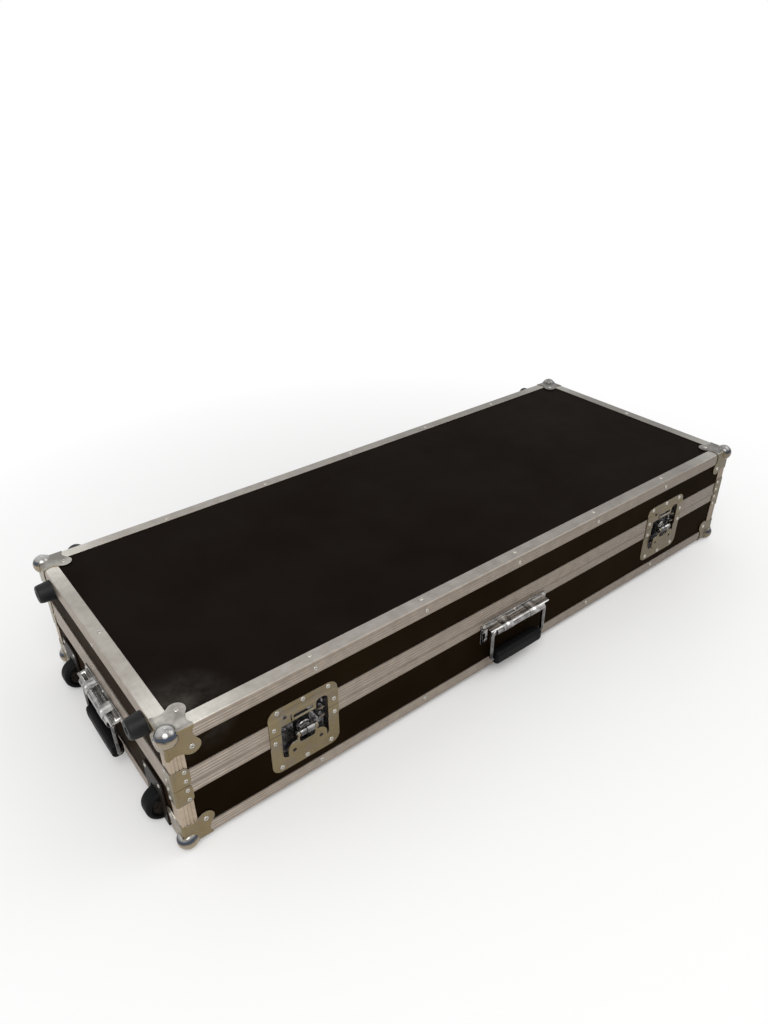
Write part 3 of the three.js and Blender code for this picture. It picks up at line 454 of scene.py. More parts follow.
def laminate():
    """Brown-black film on plywood: a fine leathery grain, faint wear and dust, with a painted sheen near
    the lid's front left corner and face tones painted lit or shaded.
    """
    s = Shader("laminate")
    s.give(s.surface.inputs["Specular IOR Level"], s.ramp(s.facing(2), 0.5, 0.9, 0.003, 0.006))
    share = s.ramp(s.noise(5, 4, 0.6), 0.35, 0.7)
    # One film in painted lit and shaded copies: the long sides painted warmer than the top, and the left
    # end painted lighter, as lit from the left.
    top = s.mix(share, (0.0072, 0.0048, 0.0037), (0.0106, 0.0080, 0.0063))
    side = s.mix(share, (0.0075, 0.0042, 0.0017), (0.0125, 0.0078, 0.0038))
    end = s.mix(share, (0.0190, 0.0115, 0.0062), (0.0300, 0.0195, 0.0120))
    side = s.mix(s.ramp(s.facing(0), -0.7, -0.95), side, end)
    tone = s.mix(s.painted_top_light(), side, top)
    # Painted sheen: a pale hazy patch of painted highlight on the lid's top near its front left corner.
    from_left, from_front = 42, 34
    sheen_spot = Vector((-HALF_X + from_left, -HALF_Y + from_front, HEIGHT)) * MM + ORIGIN
    away = s.add("ShaderNodeVectorMath", {0: s.place, 1: sheen_spot}, operation="DISTANCE").outputs["Value"]
    painted_sheen = s.times(s.ramp(away, 0.075, 0.01), s.ramp(s.noise(24, 5, 0.65), 0.34, 0.72))
    tone = s.mix(s.times(painted_sheen, 0.5), tone, (0.105, 0.097, 0.084))
    cells = s.add("ShaderNodeTexVoronoi", {"Vector": s.place, "Scale": 22.0}).outputs
    speck = s.math("LESS_THAN", cells["Distance"], 0.013)
    chosen = s.add("ShaderNodeSeparateColor", {"Color": cells["Color"]}).outputs[0]
    dust = s.times(speck, s.math("GREATER_THAN", chosen, 0.93))
    tone = s.mix(s.times(dust, 0.45), tone, (0.35, 0.32, 0.28))
    return s.end(tone, s.rough(s.noise(30, 4), 0.40, 0.50), s.bump(s.noise(650, 4, 0.6), 0.10, 0.0004))


def aluminium():
    """Extruded and anodised profile: fine lines along the run, soft mottling, small marks."""
    s = Shader("aluminium", Metallic=1.0)
    fine, coarse = 700.0, 9.0
    on_upright = s.on_upright()
    flat_run = s.mix(s.on_end(), (coarse, fine, fine), (fine, coarse, fine))
    lines = s.streaks(s.mix(on_upright, flat_run, (fine, fine, coarse)))
    marks = s.ramp(s.noise(240, 2, 0.5), 0.70, 0.78)
    shade = s.math("ADD", s.times(s.noise(55, 5, 0.6), 0.7), s.times(lines, 0.3))
    share = s.ramp(shade, 0.35, 0.65)
    # Painted light: sides and tops are lit and shaded copies of one metal, the sides darker and warmer, the
    # tops lighter.
    side = s.mix(share, (0.290, 0.240, 0.195), (0.385, 0.325, 0.268))
    side = s.mix(on_upright, side, s.mix(share, (0.380, 0.300, 0.225), (0.520, 0.430, 0.335)))
    top = s.mix(share, (0.310, 0.285, 0.254), (0.415, 0.388, 0.352))
    # Painted highlight: the tops turn paler within about 125 mm of each corner.
    corner_highlight = s.mix(share, (0.50, 0.48, 0.43), (0.66, 0.64, 0.59))
    corner_away = s.math("MAXIMUM", *s.from_faces())
    top = s.mix(s.ramp(corner_away, 0.125, 0.045), top, corner_highlight)
    tone = s.mix(s.painted_top_light(), side, top)
    tone = s.darker_to_right(s.mix(s.times(marks, 0.35), tone, (0.17, 0.14, 0.115)))
    return s.end(tone, s.rough(shade, 0.36, 0.48), s.bump(lines, 0.10, 0.0003))


def zinc():
    """Zinc plated pressed steel with a yellowish passivation, with its tops painted paler and greyer as lit
    from above.
    """
    s = Shader("zinc", Metallic=1.0)
    cloud = s.noise(14, 4, 0.55)
    scratch = s.streaks((60.0, 60.0, 1400.0), 2, 0.5)
    side = s.mix(s.ramp(cloud, 0.3, 0.7), (0.200, 0.155, 0.083), (0.280, 0.226, 0.136))
    stain = s.ramp(s.noise(38, 4, 0.6), 0.50, 0.68, 0.0, 0.6)
    side = s.mix(stain, side, (0.205, 0.178, 0.162))
    # Painted light: the tops take a paler, greyer copy of the plating than the sides.
    top = s.mix(s.ramp(s.noise(26, 3, 0.55), 0.40, 0.62), (0.200, 0.190, 0.172), (0.410, 0.395, 0.362))
    tone = s.darker_to_right(s.mix(s.painted_top_light(), side, top))
    # Painted shade and reflection inside the pans: smeared streaks from near black to pale grey.
    pan_light_streak = s.ramp(s.noise(210, 4, 0.6, distortion=1.2), 0.42, 0.64)
    tone = s.mix(s.in_pan_painted_light(), tone, s.mix(pan_light_streak, (0.045, 0.043, 0.048), (0.460, 0.445, 0.450)))
    rough = s.math("ADD", s.rough(cloud, 0.24, 0.34), s.ramp(scratch, 0.55, 0.8, 0.0, 0.10))
    return s.end(tone, rough, s.bump(scratch, 0.04, 0.0002))


def bright_plate():
    """Bright zinc of the handles: smoother, greyer and streaked along its length, with painted light by
    facing and a painted highlight along the bends.
    """
    s = Shader("bright plate", Metallic=1.0)
    fine, coarse = 420.0, 14.0
    lines = s.streaks(s.mix(s.on_end(), (coarse, fine, fine), (fine, coarse, fine)))
    cloud = s.noise(70, 4, 0.6)
    share = s.ramp(s.math("ADD", s.times(lines, 0.7), s.times(cloud, 0.3)), 0.42, 0.58)
    up = s.facing(2)
    tone = s.mix(share, (0.120, 0.112, 0.110), (0.480, 0.465, 0.450))
    # Painted light: up-facing shelves take a slightly darker copy of the tone.
    shelf = s.mix(share, (0.095, 0.092, 0.090), (0.440, 0.430, 0.410))
    tone = s.mix(s.ramp(up, 0.86, 0.99), tone, shelf)
    # Painted highlight along the bend, where the surface turns from up to out.
    bend_highlight = s.mix(share, (0.24, 0.235, 0.225), (0.60, 0.60, 0.58))
    tone = s.mix(s.peak(up, 0.76, 0.87, 0.96), tone, bend_highlight)
    return s.end(tone, s.rough(cloud, 0.14, 0.30), s.bump(cloud, 0.06, 0.0004))


def strap_plate():
    """Straps over the handles' hoods: as the hoods, with a painted highlight on the bend."""
    s = Shader("strap plate", Metallic=1.0)
    cloud = s.noise(90, 4, 0.6)
    tone = s.mix(s.ramp(cloud, 0.38, 0.62), (0.130, 0.124, 0.120), (0.430, 0.420, 0.405))
    x, y, _ = s.from_middle()
    along = s.math("MINIMUM", s.math("ABSOLUTE", x), s.math("ABSOLUTE", y))
    # Painted highlight: a near-white gleam across each strap's bend, about 31 mm from the middle.
    painted_gleam = s.times(s.peak(along, 0.0265, 0.031, 0.0355), s.peak(s.facing(2), 0.45, 0.85, 1.05))
    tone = s.mix(painted_gleam, tone, (0.98, 0.98, 0.96))
    return s.end(tone, s.rough(cloud, 0.12, 0.24), s.bump(cloud, 0.05, 0.0004))


def chrome():
    """Bright plating with faint smears, its tops and sides painted in lit and shaded tones."""
    s = Shader("chrome", Metallic=1.0)
    smear = s.noise(60, 4, 0.6)
    share = s.ramp(smear, 0.38, 0.62)
    # Painted light: the sides much darker than the tops.
    side = s.mix(share, (0.060, 0.058, 0.058), (0.220, 0.212, 0.205))
    top = s.mix(share, (0.300, 0.298, 0.290), (0.560, 0.555, 0.540))
    return s.end(s.mix(s.painted_top_light(), side, top), s.rough(smear, 0.06, 0.14), s.bump(smear, 0.04, 0.0004))


def ball_plate():
    """Polished balls with a painted reflection: pale above, dark and bluish round the middle, warm
    underneath.
    """
    s = Shader("ball plate", Metallic=1.0)
    smear = s.noise(45, 3, 0.55)
    # Painted reflection: bands of tone by how far the surface faces up, with a dark band, a bluish band and
    # a warm underside.
    up = s.math("ADD", s.facing(2), s.ramp(smear, 0.3, 0.7, -0.10, 0.10))
    tone = s.mix(s.ramp(up, 0.50, 0.70), (0.045, 0.047, 0.054), (0.36, 0.355, 0.345))
    tone = s.mix(s.ramp(up, 0.72, 0.97), tone, (0.50, 0.495, 0.48))
    tone = s.mix(s.ramp(s.noise(130, 3, 0.6), 0.48, 0.64, 0.0, 0.6), tone, (0.13, 0.125, 0.12))
    tone = s.mix(s.peak(up, 0.34, 0.43, 0.52), tone, (0.070, 0.092, 0.135))
    tone = s.mix(s.ramp(up, 0.34, 0.14), tone, (0.330, 0.275, 0.205))
    return s.end(s.darker_to_right(tone), s.rough(smear, 0.07, 0.15))


def rivet_steel():
    """Plated rivets, dulled."""
    s = Shader("rivet steel", Metallic=1.0)
    smear = s.noise(90, 3, 0.6)
    return s.end(s.mix(smear, (0.33, 0.31, 0.28), (0.50, 0.48, 0.44)), s.rough(smear, 0.12, 0.24))


def steel():
    """Plain bright steel with fine brushing, painted near black inside the latches' pans as shade."""
    s = Shader("steel", Metallic=1.0)
    lines = s.streaks((900.0, 40.0, 900.0))
    tone = s.mix(lines, (0.20, 0.19, 0.175), (0.32, 0.31, 0.29))
    # Painted shade: near black inside the latches' pans.
    tone = s.mix(s.in_pan_painted_light(), tone, (0.022, 0.021, 0.022))
    return s.end(tone, s.rough(lines, 0.26, 0.42), s.bump(lines, 0.10, 0.0002))


def rubber():
    """Black rubber with a dusty bloom and a fine texture."""
    s = Shader("rubber", Specular_IOR_Level=0.22)
    bloom = s.noise(45, 4, 0.6)
    tone = s.mix(s.ramp(bloom, 0.4, 0.8), (0.0050, 0.0052, 0.0056), (0.0130, 0.0130, 0.0130))
    return s.end(tone, s.rough(bloom, 0.40, 0.55), s.bump(s.noise(900, 3), 0.15, 0.0003))


def grip_rubber():
    """Dull black moulding of the handles' grips and the wheels' tyres."""
    s = Shader("grip rubber", Specular_IOR_Level=0.07)
    grain = s.noise(700, 3)
    tone = s.mix(s.noise(25, 4), (0.0030, 0.0032, 0.0034), (0.0070, 0.0072, 0.0072))
    return s.end(tone, s.rough(grain, 0.42, 0.58), s.bump(grain, 0.15, 0.0003))


def plastic():
    """Black moulded plastic with a spark-eroded grain."""
    s = Shader("plastic", Specular_IOR_Level=0.09)
    grain = s.noise(1300, 2)
    tone = s.mix(s.noise(30, 3), (0.0085, 0.0060, 0.0042), (0.0150, 0.0108, 0.0080))
    return s.end(tone, s.rough(grain, 0.34, 0.50), s.bump(grain, 0.2, 0.0002))


def foam():
    """Open-cell charcoal foam."""
    s = Shader("foam", Specular_IOR_Level=0.1, Sheen_Weight=0.25, Sheen_Roughness=0.6)
    cells = s.add("ShaderNodeTexVoronoi", {"Vector": s.place, "Scale": 620.0}).outputs["Distance"]
    tone = s.mix(s.ramp(cells, 0.1, 0.6), (0.010, 0.010, 0.011), (0.038, 0.038, 0.041))
    pores = s.bump(cells, 0.5, 0.0008)
    return s.end(tone, 0.95, s.bump(s.noise(1500, 3, 0.7), 0.4, 0.0006, Normal=pores))


FINISHES = {
    "laminate": laminate(), "aluminium": aluminium(), "zinc": zinc(), "chrome": chrome(),
    "steel": steel(), "rubber": rubber(), "plastic": plastic(), "foam": foam(),
    "bright plate": bright_plate(), "rivet steel": rivet_steel(), "grip rubber": grip_rubber(),
    "ball plate": ball_plate(), "strap plate": strap_plate(),
}


def dressed(name, mesh, finish, body, replaces, bevel=0.0):
    """Puts a mesh in the scene with its finish, and lets it ride on a body."""
    mesh.materials.append(FINISHES[finish])
    obj = bpy.data.objects.new(name, mesh)
    bpy.context.scene.collection.objects.link(obj)
    if bevel:
        soft = obj.modifiers.new("soft", "BEVEL")
        soft.width = bevel
        soft.segments = 3
        soft.limit_method = "ANGLE"
        soft.angle_limit = math.radians(40)
    obj.modifiers.new("normals", "WEIGHTED_NORMAL").keep_sharp = True
    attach(obj, body)
    if replaces:
        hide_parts(*replaces)
    return obj


def piece(name, parts, finish, body, replaces=(), crease=38.0, place=None):
    """Makes one object of parts drawn in the case's frame, or on a face that place gives."""
    verts, faces = merged(parts)
    if place:
        verts = [place @ v for v in verts]
    mesh = bpy.data.meshes.new(name)
    mesh.from_pydata([ORIGIN + v * MM for v in verts], [], faces)
    shape = bmesh.new()
    shape.from_mesh(mesh)
    loose = [vert for vert in shape.verts if not vert.link_faces]
    bmesh.ops.delete(shape, geom=loose, context="VERTS")
    bmesh.ops.remove_doubles(shape, verts=shape.verts, dist=1e-6)
    bmesh.ops.recalc_face_normals(shape, faces=shape.faces)
    shape.to_mesh(mesh)
    shape.free()
    mesh.shade_smooth()
    mesh.set_sharp_from_angle(angle=math.radians(crease))
    return dressed(name, mesh, finish, body, replaces)


# Rivets are gathered while the pieces are made, one list for each body
rivets = {}


def rivet(body, side, along, up, out=0.0, radius=RIVET):
    profile = [(radius * r, h * radius / RIVET) for r, h in RIVET_PROFILE]
    rivets.setdefault(body, []).append(placed(lathe(profile, 16), on_face(side, along, up, out)))


def corner_rivets(body, corner, at, level, radius=RIVET):
    """One rivet on each of the two upright faces at a corner."""
    sx, sy, end, long = corner
    rivet(body, long, -sx * sy * (HALF_X - at), level, SHEET, radius)
    rivet(body, end, sx * sy * (HALF_Y - at), level, SHEET, radius)


def nose(flip):
    """Quarter round at the outer corner of an edge angle, from the side face to the flat one."""
    return [Vector((NOSE * (1 - c), flip(NOSE * (1 - s)))) for c, s in arc(0, 90, 6)[1:-1]]


def angle_section(flip):
    """Edge angle with a ridged side face and a smooth flat one. flip gives a height from the
    distance to the outer flat face."""
    edge = 0.4
    flat = [(NOSE, 0), (LEG - edge, 0), (LEG, edge), (LEG, METAL), (METAL, METAL), (METAL, LEG)]
    return ridged(flip(LEG), flip(NOSE), 4) + nose(flip) + [Vector((p, flip(q))) for p, q in flat]


def upright_section():
    """Edge angle with both faces ridged, as distances from the two faces of a corner."""
    face = ridged(LEG, NOSE, 4)
    inner = [Vector((LEG, METAL)), Vector((METAL, METAL)), Vector((METAL, LEG))]
    return face + nose(lambda rise: rise) + [p.yx for p in reversed(face)] + inner


def uprights(low, high):
    """The four corner angles of one half, from one height to another."""
    section = upright_section()
    parts = []
    for sx, sy, *_ in CORNERS:
        place = at_corner(sx, sy)
        parts.append(stacked([[[Vector(place(p.x, p.y, z)) for p in section]] for z in (low, high)]))
    return parts


def edges():
    """Aluminium angles on the edges of both halves."""
    wheel_room, overlap = 17.8, 0.5
    outer, inner = WHEEL_Y + wheel_room, WHEEL_Y - wheel_room
    section = angle_section(lambda rise: rise)
    path = [left_end(-outer), mitre(-1, -1), mitre(1, -1), mitre(1, 1), mitre(-1, 1), left_end(outer)]
    base = [band(section, path), *uprights(LEG - overlap, PARTING - BASE_BAND - SEAM)]
    piece("base_edges", base, "aluminium", "base", ["base_edge_frame"])
    middle = band(section, [left_end(-inner), left_end(inner)])
    piece("base_edge_between_wheels", [middle], "aluminium", "base", ["base_edge_left"])
    lid_section = angle_section(lambda rise: HEIGHT - rise)
    lid = [band(lid_section, [mitre(*corner[:2]) for corner in CORNERS], closed=True)]
    lid += uprights(PARTING + LID_BAND + SEAM, HEIGHT - LEG + overlap)
    piece("lid_edges", lid, "aluminium", "lid", ["lid_edge_frame"])


def rims():
    """Closing profiles, cut away at the latches."""
    tongue, tongue_width, taper, tongue_tall, room = 4.0, 3.0, 0.6, 5.0, 1.0
    tip = PARTING + tongue_tall
    flange = INNER + METAL
    foot = PARTING - BASE_BAND
    board_top = PARTING - METAL
    base = ridged(foot, PARTING, 3) + [Vector(p) for p in (
        (tongue, PARTING), (tongue + taper, tip), (tongue + tongue_width - taper, tip),
        (tongue + tongue_width, PARTING), (flange, PARTING), (flange, PARTING - INNER_FLANGE),
        (INNER, PARTING - INNER_FLANGE), (INNER, board_top), (METAL, board_top), (METAL, foot),
    )]
    groove_top = tip + room
    board_foot = groove_top + METAL
    flange_top = groove_top + INNER_FLANGE
    head = PARTING + LID_BAND
    near, far = tongue - room, tongue + tongue_width + room
    lid = ridged(head, LID_START, 5) + [Vector(p) for p in (
        (near, LID_START), (near, groove_top), (far, groove_top), (far, LID_START),
        (flange, LID_START), (flange, flange_top), (INNER, flange_top), (INNER, board_foot),
        (METAL, board_foot), (METAL, head),
    )]
    front_low, front_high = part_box("base_rim_front")
    inner = (front_high.x - front_low.x) / 2 / MM
    outer = 2 * LATCH_X - inner
    path = [front_end(-outer), mitre(-1, -1), mitre(-1, 1), mitre(1, 1), mitre(1, -1), front_end(outer)]
    for name, section, body in (("base_rim", base, "base"), ("lid_rim", lid, "lid")):
        piece(f"{name}_profile", [band(section, path)], "aluminium", body, [name])
        middle = band(section, [front_end(-inner), front_end(inner)])
        piece(f"{name}_profile_front", [middle], "aluminium", body, [f"{name}_front"])


def fold(low, high):
    """Bent edge of a sheet over a rounded corner: (first, second, along) distances."""
    turn = arc(0, 90, 8)
    ring = [(FOLD - (FOLD + SHEET) * c, FOLD - (FOLD + SHEET) * s) for c, s in turn]
    ring += [(FOLD - FOLD * c, FOLD - FOLD * s) for c, s in reversed(turn)]
    return stacked([[[Vector((*p, at)) for p in ring]] for at in (low, high)])


def braces():
    """Pressed braces over the uprights, one on each half at each corner."""
    width, tab, rivet_in = 24.0, 8.0, 17.0
    halves = {
        "base": (PARTING - 30, PARTING, [PARTING - 7.3, PARTING - 24]),
        "lid": (LID_START, PARTING + 32, [PARTING + 10, PARTING + 26]),
    }
    for body, (low, high, heights) in halves.items():
        loop = outline([(FOLD, low, 0), (width, low, tab), (width, high, tab), (FOLD, high, 0)])
        sheet = plate([loop], SHEET, 0.45)
        parts = [mapped(sheet, lambda u, v, w: (u, -w, v)), mapped(sheet, lambda u, v, w: (-w, u, v)),
                 fold(low, high)]
        for corner in CORNERS:
            sx, sy, end, long = corner
            brace = [mapped(part, at_corner(sx, sy)) for part in parts]
            piece(f"{body}_brace_{end}_{long}", brace, "zinc", body)
            for height in heights:
                corner_rivets(body, corner, rivet_in, height, BRACE_RIVET)


# Ball corners: how far a leaf reaches along an edge, and how far in the middle of its tip lies
LEAF_REACH = 40.0
LEAF_MIDDLE = 33.0


def leaf_loop():
    """Leaf of a ball corner, as distances from the two edges of its face."""
    waist, waist_depth, tip = 33.0, 12.5, 12.5
    slant = tip * math.sqrt(0.5)
    start, control, near = (Vector(p) for p in (
        (LEAF_REACH, FOLD), (waist, waist_depth), (LEAF_MIDDLE + slant, LEAF_MIDDLE - slant)))
    first = []
    for k in range(1, 7):
        t = k / 7
        first.append(start * (1 - t) ** 2 + control * (2 * t * (1 - t)) + near * t * t)
    cap = [Vector((LEAF_MIDDLE + tip * c, LEAF_MIDDLE + tip * s)) for c, s in arc(-45, 135, 16)]
    back = [p.yx for p in reversed(first)]
    return [Vector((FOLD, FOLD)), start, *first, *cap, *back, start.yx]


def ball_corner():
    """One ball corner in distances inwards from the three faces, and its ball by itself."""
    ball, deep, lip, bend_start = 15.0, 7.0, 2.5, 8.0
    leaf = plate([leaf_loop()], SHEET, 0.45)
    turns = [lambda u, v, w: (u, v, -w), lambda u, v, w: (-w, u, v), lambda u, v, w: (v, -w, u)]
    bend = fold(bend_start, LEAF_REACH)
    parts = [mapped(leaf, turn) for turn in turns]
    parts += [bend, mapped(bend, lambda a, b, t: (t, a, b)), mapped(bend, lambda a, b, t: (b, t, a))]
    height = SHEET + lip
    ring_at = math.sqrt((ball + lip) ** 2 - (deep + height) ** 2)
    start = math.degrees(math.atan2(-(deep + height), -ring_at))
    rows, steps = 24, 5
    fillet = []
    for c, s in arc(-36, 126, rows):
        for lip_c, lip_s in arc(start, -90, steps):
            out = ring_at + lip * lip_c
            fillet.append((deep + out * c, deep + out * s, height + lip * lip_s))
    fillet = fillet, net(rows + 1, steps + 1, closed=False)
    parts += [mapped(fillet, turn) for turn in turns]
    sides, rings, covered = 48, 24, 0.5
    points = []
    for polar_c, polar_s in arc(0, 180, rings):
        for c, s in around(sides):
            points.append(Vector((c * polar_s, s * polar_s, polar_c)) * ball + Vector((deep, deep, deep)))
    dome = [face for face in net(rings + 1, sides) if min(min(points[n]) for n in face) < covered]
    return parts, (points, dome)


def corners():
    """Ball corners of both halves, with a rivet on each of their three leaves."""
    parts, dome = ball_corner()
    at = LEAF_MIDDLE
    for corner in CORNERS:
        sx, sy, end, long = corner
        for body, flat, level, way in (("base", "under", at, -1), ("lid", "top", HEIGHT - at, 1)):
            place = at_corner(sx, sy, top=body == "lid")
            node = f"{body}_corner_{long}_{end}"
            leaves = [mapped(part, place) for part in parts]
            piece(f"{body}_corner_leaves_{long}_{end}", leaves, "zinc", body, [node])
            piece(f"{body}_corner_ball_{long}_{end}", [mapped(dome, place)], "ball plate", body, [node])
            corner_rivets(body, corner, at, level)
            rivet(body, flat, sx * (HALF_X - at), way * sy * (HALF_Y - at), SHEET)


def edge_rivets():
    """Rivets along the edge angles."""
    first, pitch, flat_in = -389.0, 196.25, 14.0
    halves = (("lid", "top", HEIGHT - 13, HEIGHT - 16), ("base", "under", 14, 12))
    for body, flat, long_level, end_level in halves:
        spots = [("left", 0, end_level), ("right", 0, end_level)]
        spots += [(flat, sx * (HALF_X - flat_in), 0) for sx in (-1, 1)]
        for i in range(5):
            x = first + pitch * i
            spots += [("front", x, long_level), ("back", -x, long_level)]
            spots += [(flat, x, sy * (HALF_Y - flat_in)) for sy in (-1, 1)]
        for side, along, up in spots:
            rivet(body, side, along, up, 0, EDGE_RIVET)


def stepped(part, edge, way):
    """Lets a plate step back onto the boards past a height, upwards or downwards by way's sign."""
    run, steps = 4.2, 4
    shape = bmesh.new()
    made = [shape.verts.new(v) for v in part[0]]
    for face in part[1]:
        shape.faces.new([made[i] for i in face])
    for k in range(steps + 1):
        everything = shape.verts[:] + shape.edges[:] + shape.faces[:]
        cut = (0, edge + way * run * k / steps, 0)
        bmesh.ops.bisect_plane(shape, geom=everything, plane_co=cut, plane_no=(0, 1, 0), dist=1e-5)
    for vert in shape.verts:
        share = min(1.0, max(0.0, way * (vert.co.y - edge) / run))
        vert.co.z -= METAL * (0.5 - 0.5 * math.cos(math.pi * share))
    shape.verts.index_update()
    result = ([v.co.copy() for v in shape.verts], [tuple(v.index for v in f.verts) for f in shape.faces])
    shape.free()
    return result


def bowl(loop, depth, wall, fillet):
    """Pressed pan behind a mouth. The loop is the mouth's outline, anticlockwise, and the pan is
    open between the loop's two ends."""
    levels = [(-wall, -depth - wall), (-wall, 0.0), (0.0, 0.0)]
    levels += [(fillet * (1 - c), -depth + fillet * (1 - s)) for c, s in arc(0, 90, 5)]
    verts = []
    for at, height in levels:
        moved = inset(loop, at)
        for end, before, after in ((0, 0, 1), (-1, -2, -1)):
            along = (loop[after] - loop[before]).normalized()
            moved[end] = loop[end] + Vector((-along.y, along.x)) * at
        verts += [Vector((p.x, p.y, height)) for p in moved]
    count = len(loop)
    starts = range(0, len(verts), count)
    faces = net(len(levels), count, closed=False)
    faces += [tuple(range(count)), tuple(range(len(verts) - count, len(verts)))]
    faces.append((*starts, *(start + count - 1 for start in reversed(starts))))
    return verts, faces


# The latch: half width of its mouth and frame, depth of its pan, the lug's span, the spindle's hub
# and how far out the barrel lies
MOUTH = 38.0
FRAME_HALF = 56.0
RECESS = 12.5
LUG = (22.0, 34.0)
HUB = PARTING - 13
BARREL_OUT = 3.7


def latch_lug(low):
    """Padlock lug: a level tab with a hole, standing out from the back of the pan."""
    front, round_by, thick = 0.85, 3.5, 2.0
    loop = outline([(LUG[0], -RECESS, 0), (LUG[1], -RECESS, 0), (LUG[1], front, round_by),
                    (LUG[0], front, round_by)])
    tab = plate([loop, circle((LUG[0] + LUG[1]) / 2, -4.0, 3.5)], thick, 0.5, both=True)
    return mapped(tab, lambda u, v, w: (u, low + w, v))


def latch_rivets(body, x, outer, middle, inner):
    """Rivets of half a latch's frame, at three heights: the two at the far corners, the one
    between them and the two on the closing band."""
    far, near, near_radius = 41, 48.5, 3.7
    for across, height in ((-far, outer), (0, middle), (far, outer)):
        rivet(body, "front", x + across, height, SHEET - METAL)
    for across in (-near, near):
        rivet(body, "front", x + across, inner, SHEET, near_radius)


def latch_dish(side, x, place):
    """Lower half of a latch: a frame round a pan, with the spindle's collar, a rib and a lug."""
    foot, low = PARTING - 50, PARTING - 72.5
    mouth = [(-MOUTH, PARTING, 0), (-MOUTH, foot, 8), (MOUTH, foot, 8), (MOUTH, PARTING, 0)]
    loop = outline([(-FRAME_HALF, PARTING, 0), (-FRAME_HALF, low, 15), (FRAME_HALF, low, 15),
                    (FRAME_HALF, PARTING, 0), *reversed(mouth)], 7)
    sheet = stepped(plate([loop], SHEET, 0.5), PARTING - BASE_BAND - SEAM, -1)
    pan = bowl(outline(mouth, 7), RECESS, SHEET, 3.0)
    collar = lathe([(15.5, 0.0), (15.5, 0.5), (14.6, 1.1), (12.4, 1.1), (11.4, 0.4), (11.4, 0.0)], 40)
    collar = placed(collar, Matrix.Translation((0, HUB, -RECESS)))
    rib = plate([rectangle(-28.5, -23.5, foot + 9, PARTING - 9, 2.4)], 0.9, 0.8, back=-RECESS)
    parts = [sheet, pan, collar, rib, latch_lug(PARTING - 9)]
    piece(f"latch_dish_pressing_{side}", parts, "zinc", "base", [f"latch_dish_{side}"], place=place)
    latch_rivets("base", x, outer=43, middle=40.5, inner=PARTING - 12)


def latch_keeper(side, x, place):
    """Upper half of a latch: a frame that fills most of its mouth, with a slot, a bar and a lug."""
    top, head, lip = PARTING + 45.5, LID_START + 35, LID_START + 12
    bay, bay_top = LUG[0] - 3, head - 8
    loop = outline([
        (-FRAME_HALF, LID_START, 0), (-MOUTH, LID_START, 0), (-MOUTH, lip, 3), (bay, lip, 1.2),
        (bay, bay_top, 7), (MOUTH, bay_top, 7), (MOUTH, LID_START, 0), (FRAME_HALF, LID_START, 0),
        (FRAME_HALF, top, 15), (-FRAME_HALF, top, 15),
    ], 7)
    slot_left, slot_right, bar_short = -17, 14, 0.5
    slot = rectangle(slot_left, slot_right, lip + 5, lip + 10, 1.6)[::-1]
    slit = rectangle(-22, -20, lip + 1.5, lip + 13.5, 0.8)[::-1]
    hole = circle(-31, LID_START + 26, 3.0)
    sheet = stepped(plate([loop, slot, slit, hole], SHEET, 0.5), PARTING + LID_BAND + SEAM, 1)
    mouth = outline([(MOUTH, LID_START, 0), (MOUTH, head, 8), (-MOUTH, head, 8), (-MOUTH, LID_START, 0)], 7)
    bar_up, bar_out, bar_radius = lip + 2.6, 0.6, 1.7
    ends = slot_left + bar_short, slot_right - bar_short
    bar = tube([Vector((across, bar_up, bar_out)) for across in ends], bar_radius, 14)
    parts = [sheet, bowl(mouth, RECESS, SHEET, 3.0), latch_lug(LID_START + 6), bar]
    piece(f"latch_keeper_pressing_{side}", parts, "zinc", "lid", [f"latch_keeper_{side}"], place=place)
    latch_rivets("lid", x, outer=146, middle=147.5, inner=PARTING + 12.7)


def latch_spindle(side, place):
    """Boss and shaft, a neck, and the cross barrel with its pin and its coil spring."""
    hub = Matrix.Translation((0, HUB, 0))
    boss = lathe([(0, -9.6), (11, -9.6), (11, -3.2), (10.2, -2.3), (7.4, -2.0), (6.8, -2.6), (0, -2.6)], 32)
    shaft = lathe([(0, -12.2), (5, -12.2), (5, -9.4), (0, -9.4)], 20)
    neck = plate([rectangle(-8, 8, -4, 4, 1.2)], 5.0, 0.8, back=-2.8)
    half, core = 12.0, 3.6
    barrel = lathe([(0, -half), (core, -half), (core, -1.5), (4.7, -1.0), (5.4, -0.4), (5.5, 0.4),
                    (5.5, half - 1), (5.1, half - 0.3), (4.5, half), (0, half)], 28)
    pin = lathe(mirrored([(0, -17.6), (1.5, -17.5), (2.1, -17.0), (2.2, -16.6)]), 16)
    turns, wire, coil = 6, 0.85, 4.55
    path = []
    for k, (c, s) in enumerate(arc(0, 360 * turns, 20 * turns)):
        along = -half + wire + (half - 2.4 - wire) * k / (20 * turns)
        path.append(Vector((along, coil * c, BARREL_OUT + coil * s)))
    parts = [boss, shaft, neck, crosswise(barrel, out=BARREL_OUT), crosswise(pin, out=BARREL_OUT),
             tube(path, wire, 8)]
    piece(f"latch_spindle_turned_{side}", parts, "chrome", f"spindle_{side}", [f"latch_spindle_{side}"],
          place=place @ hub)


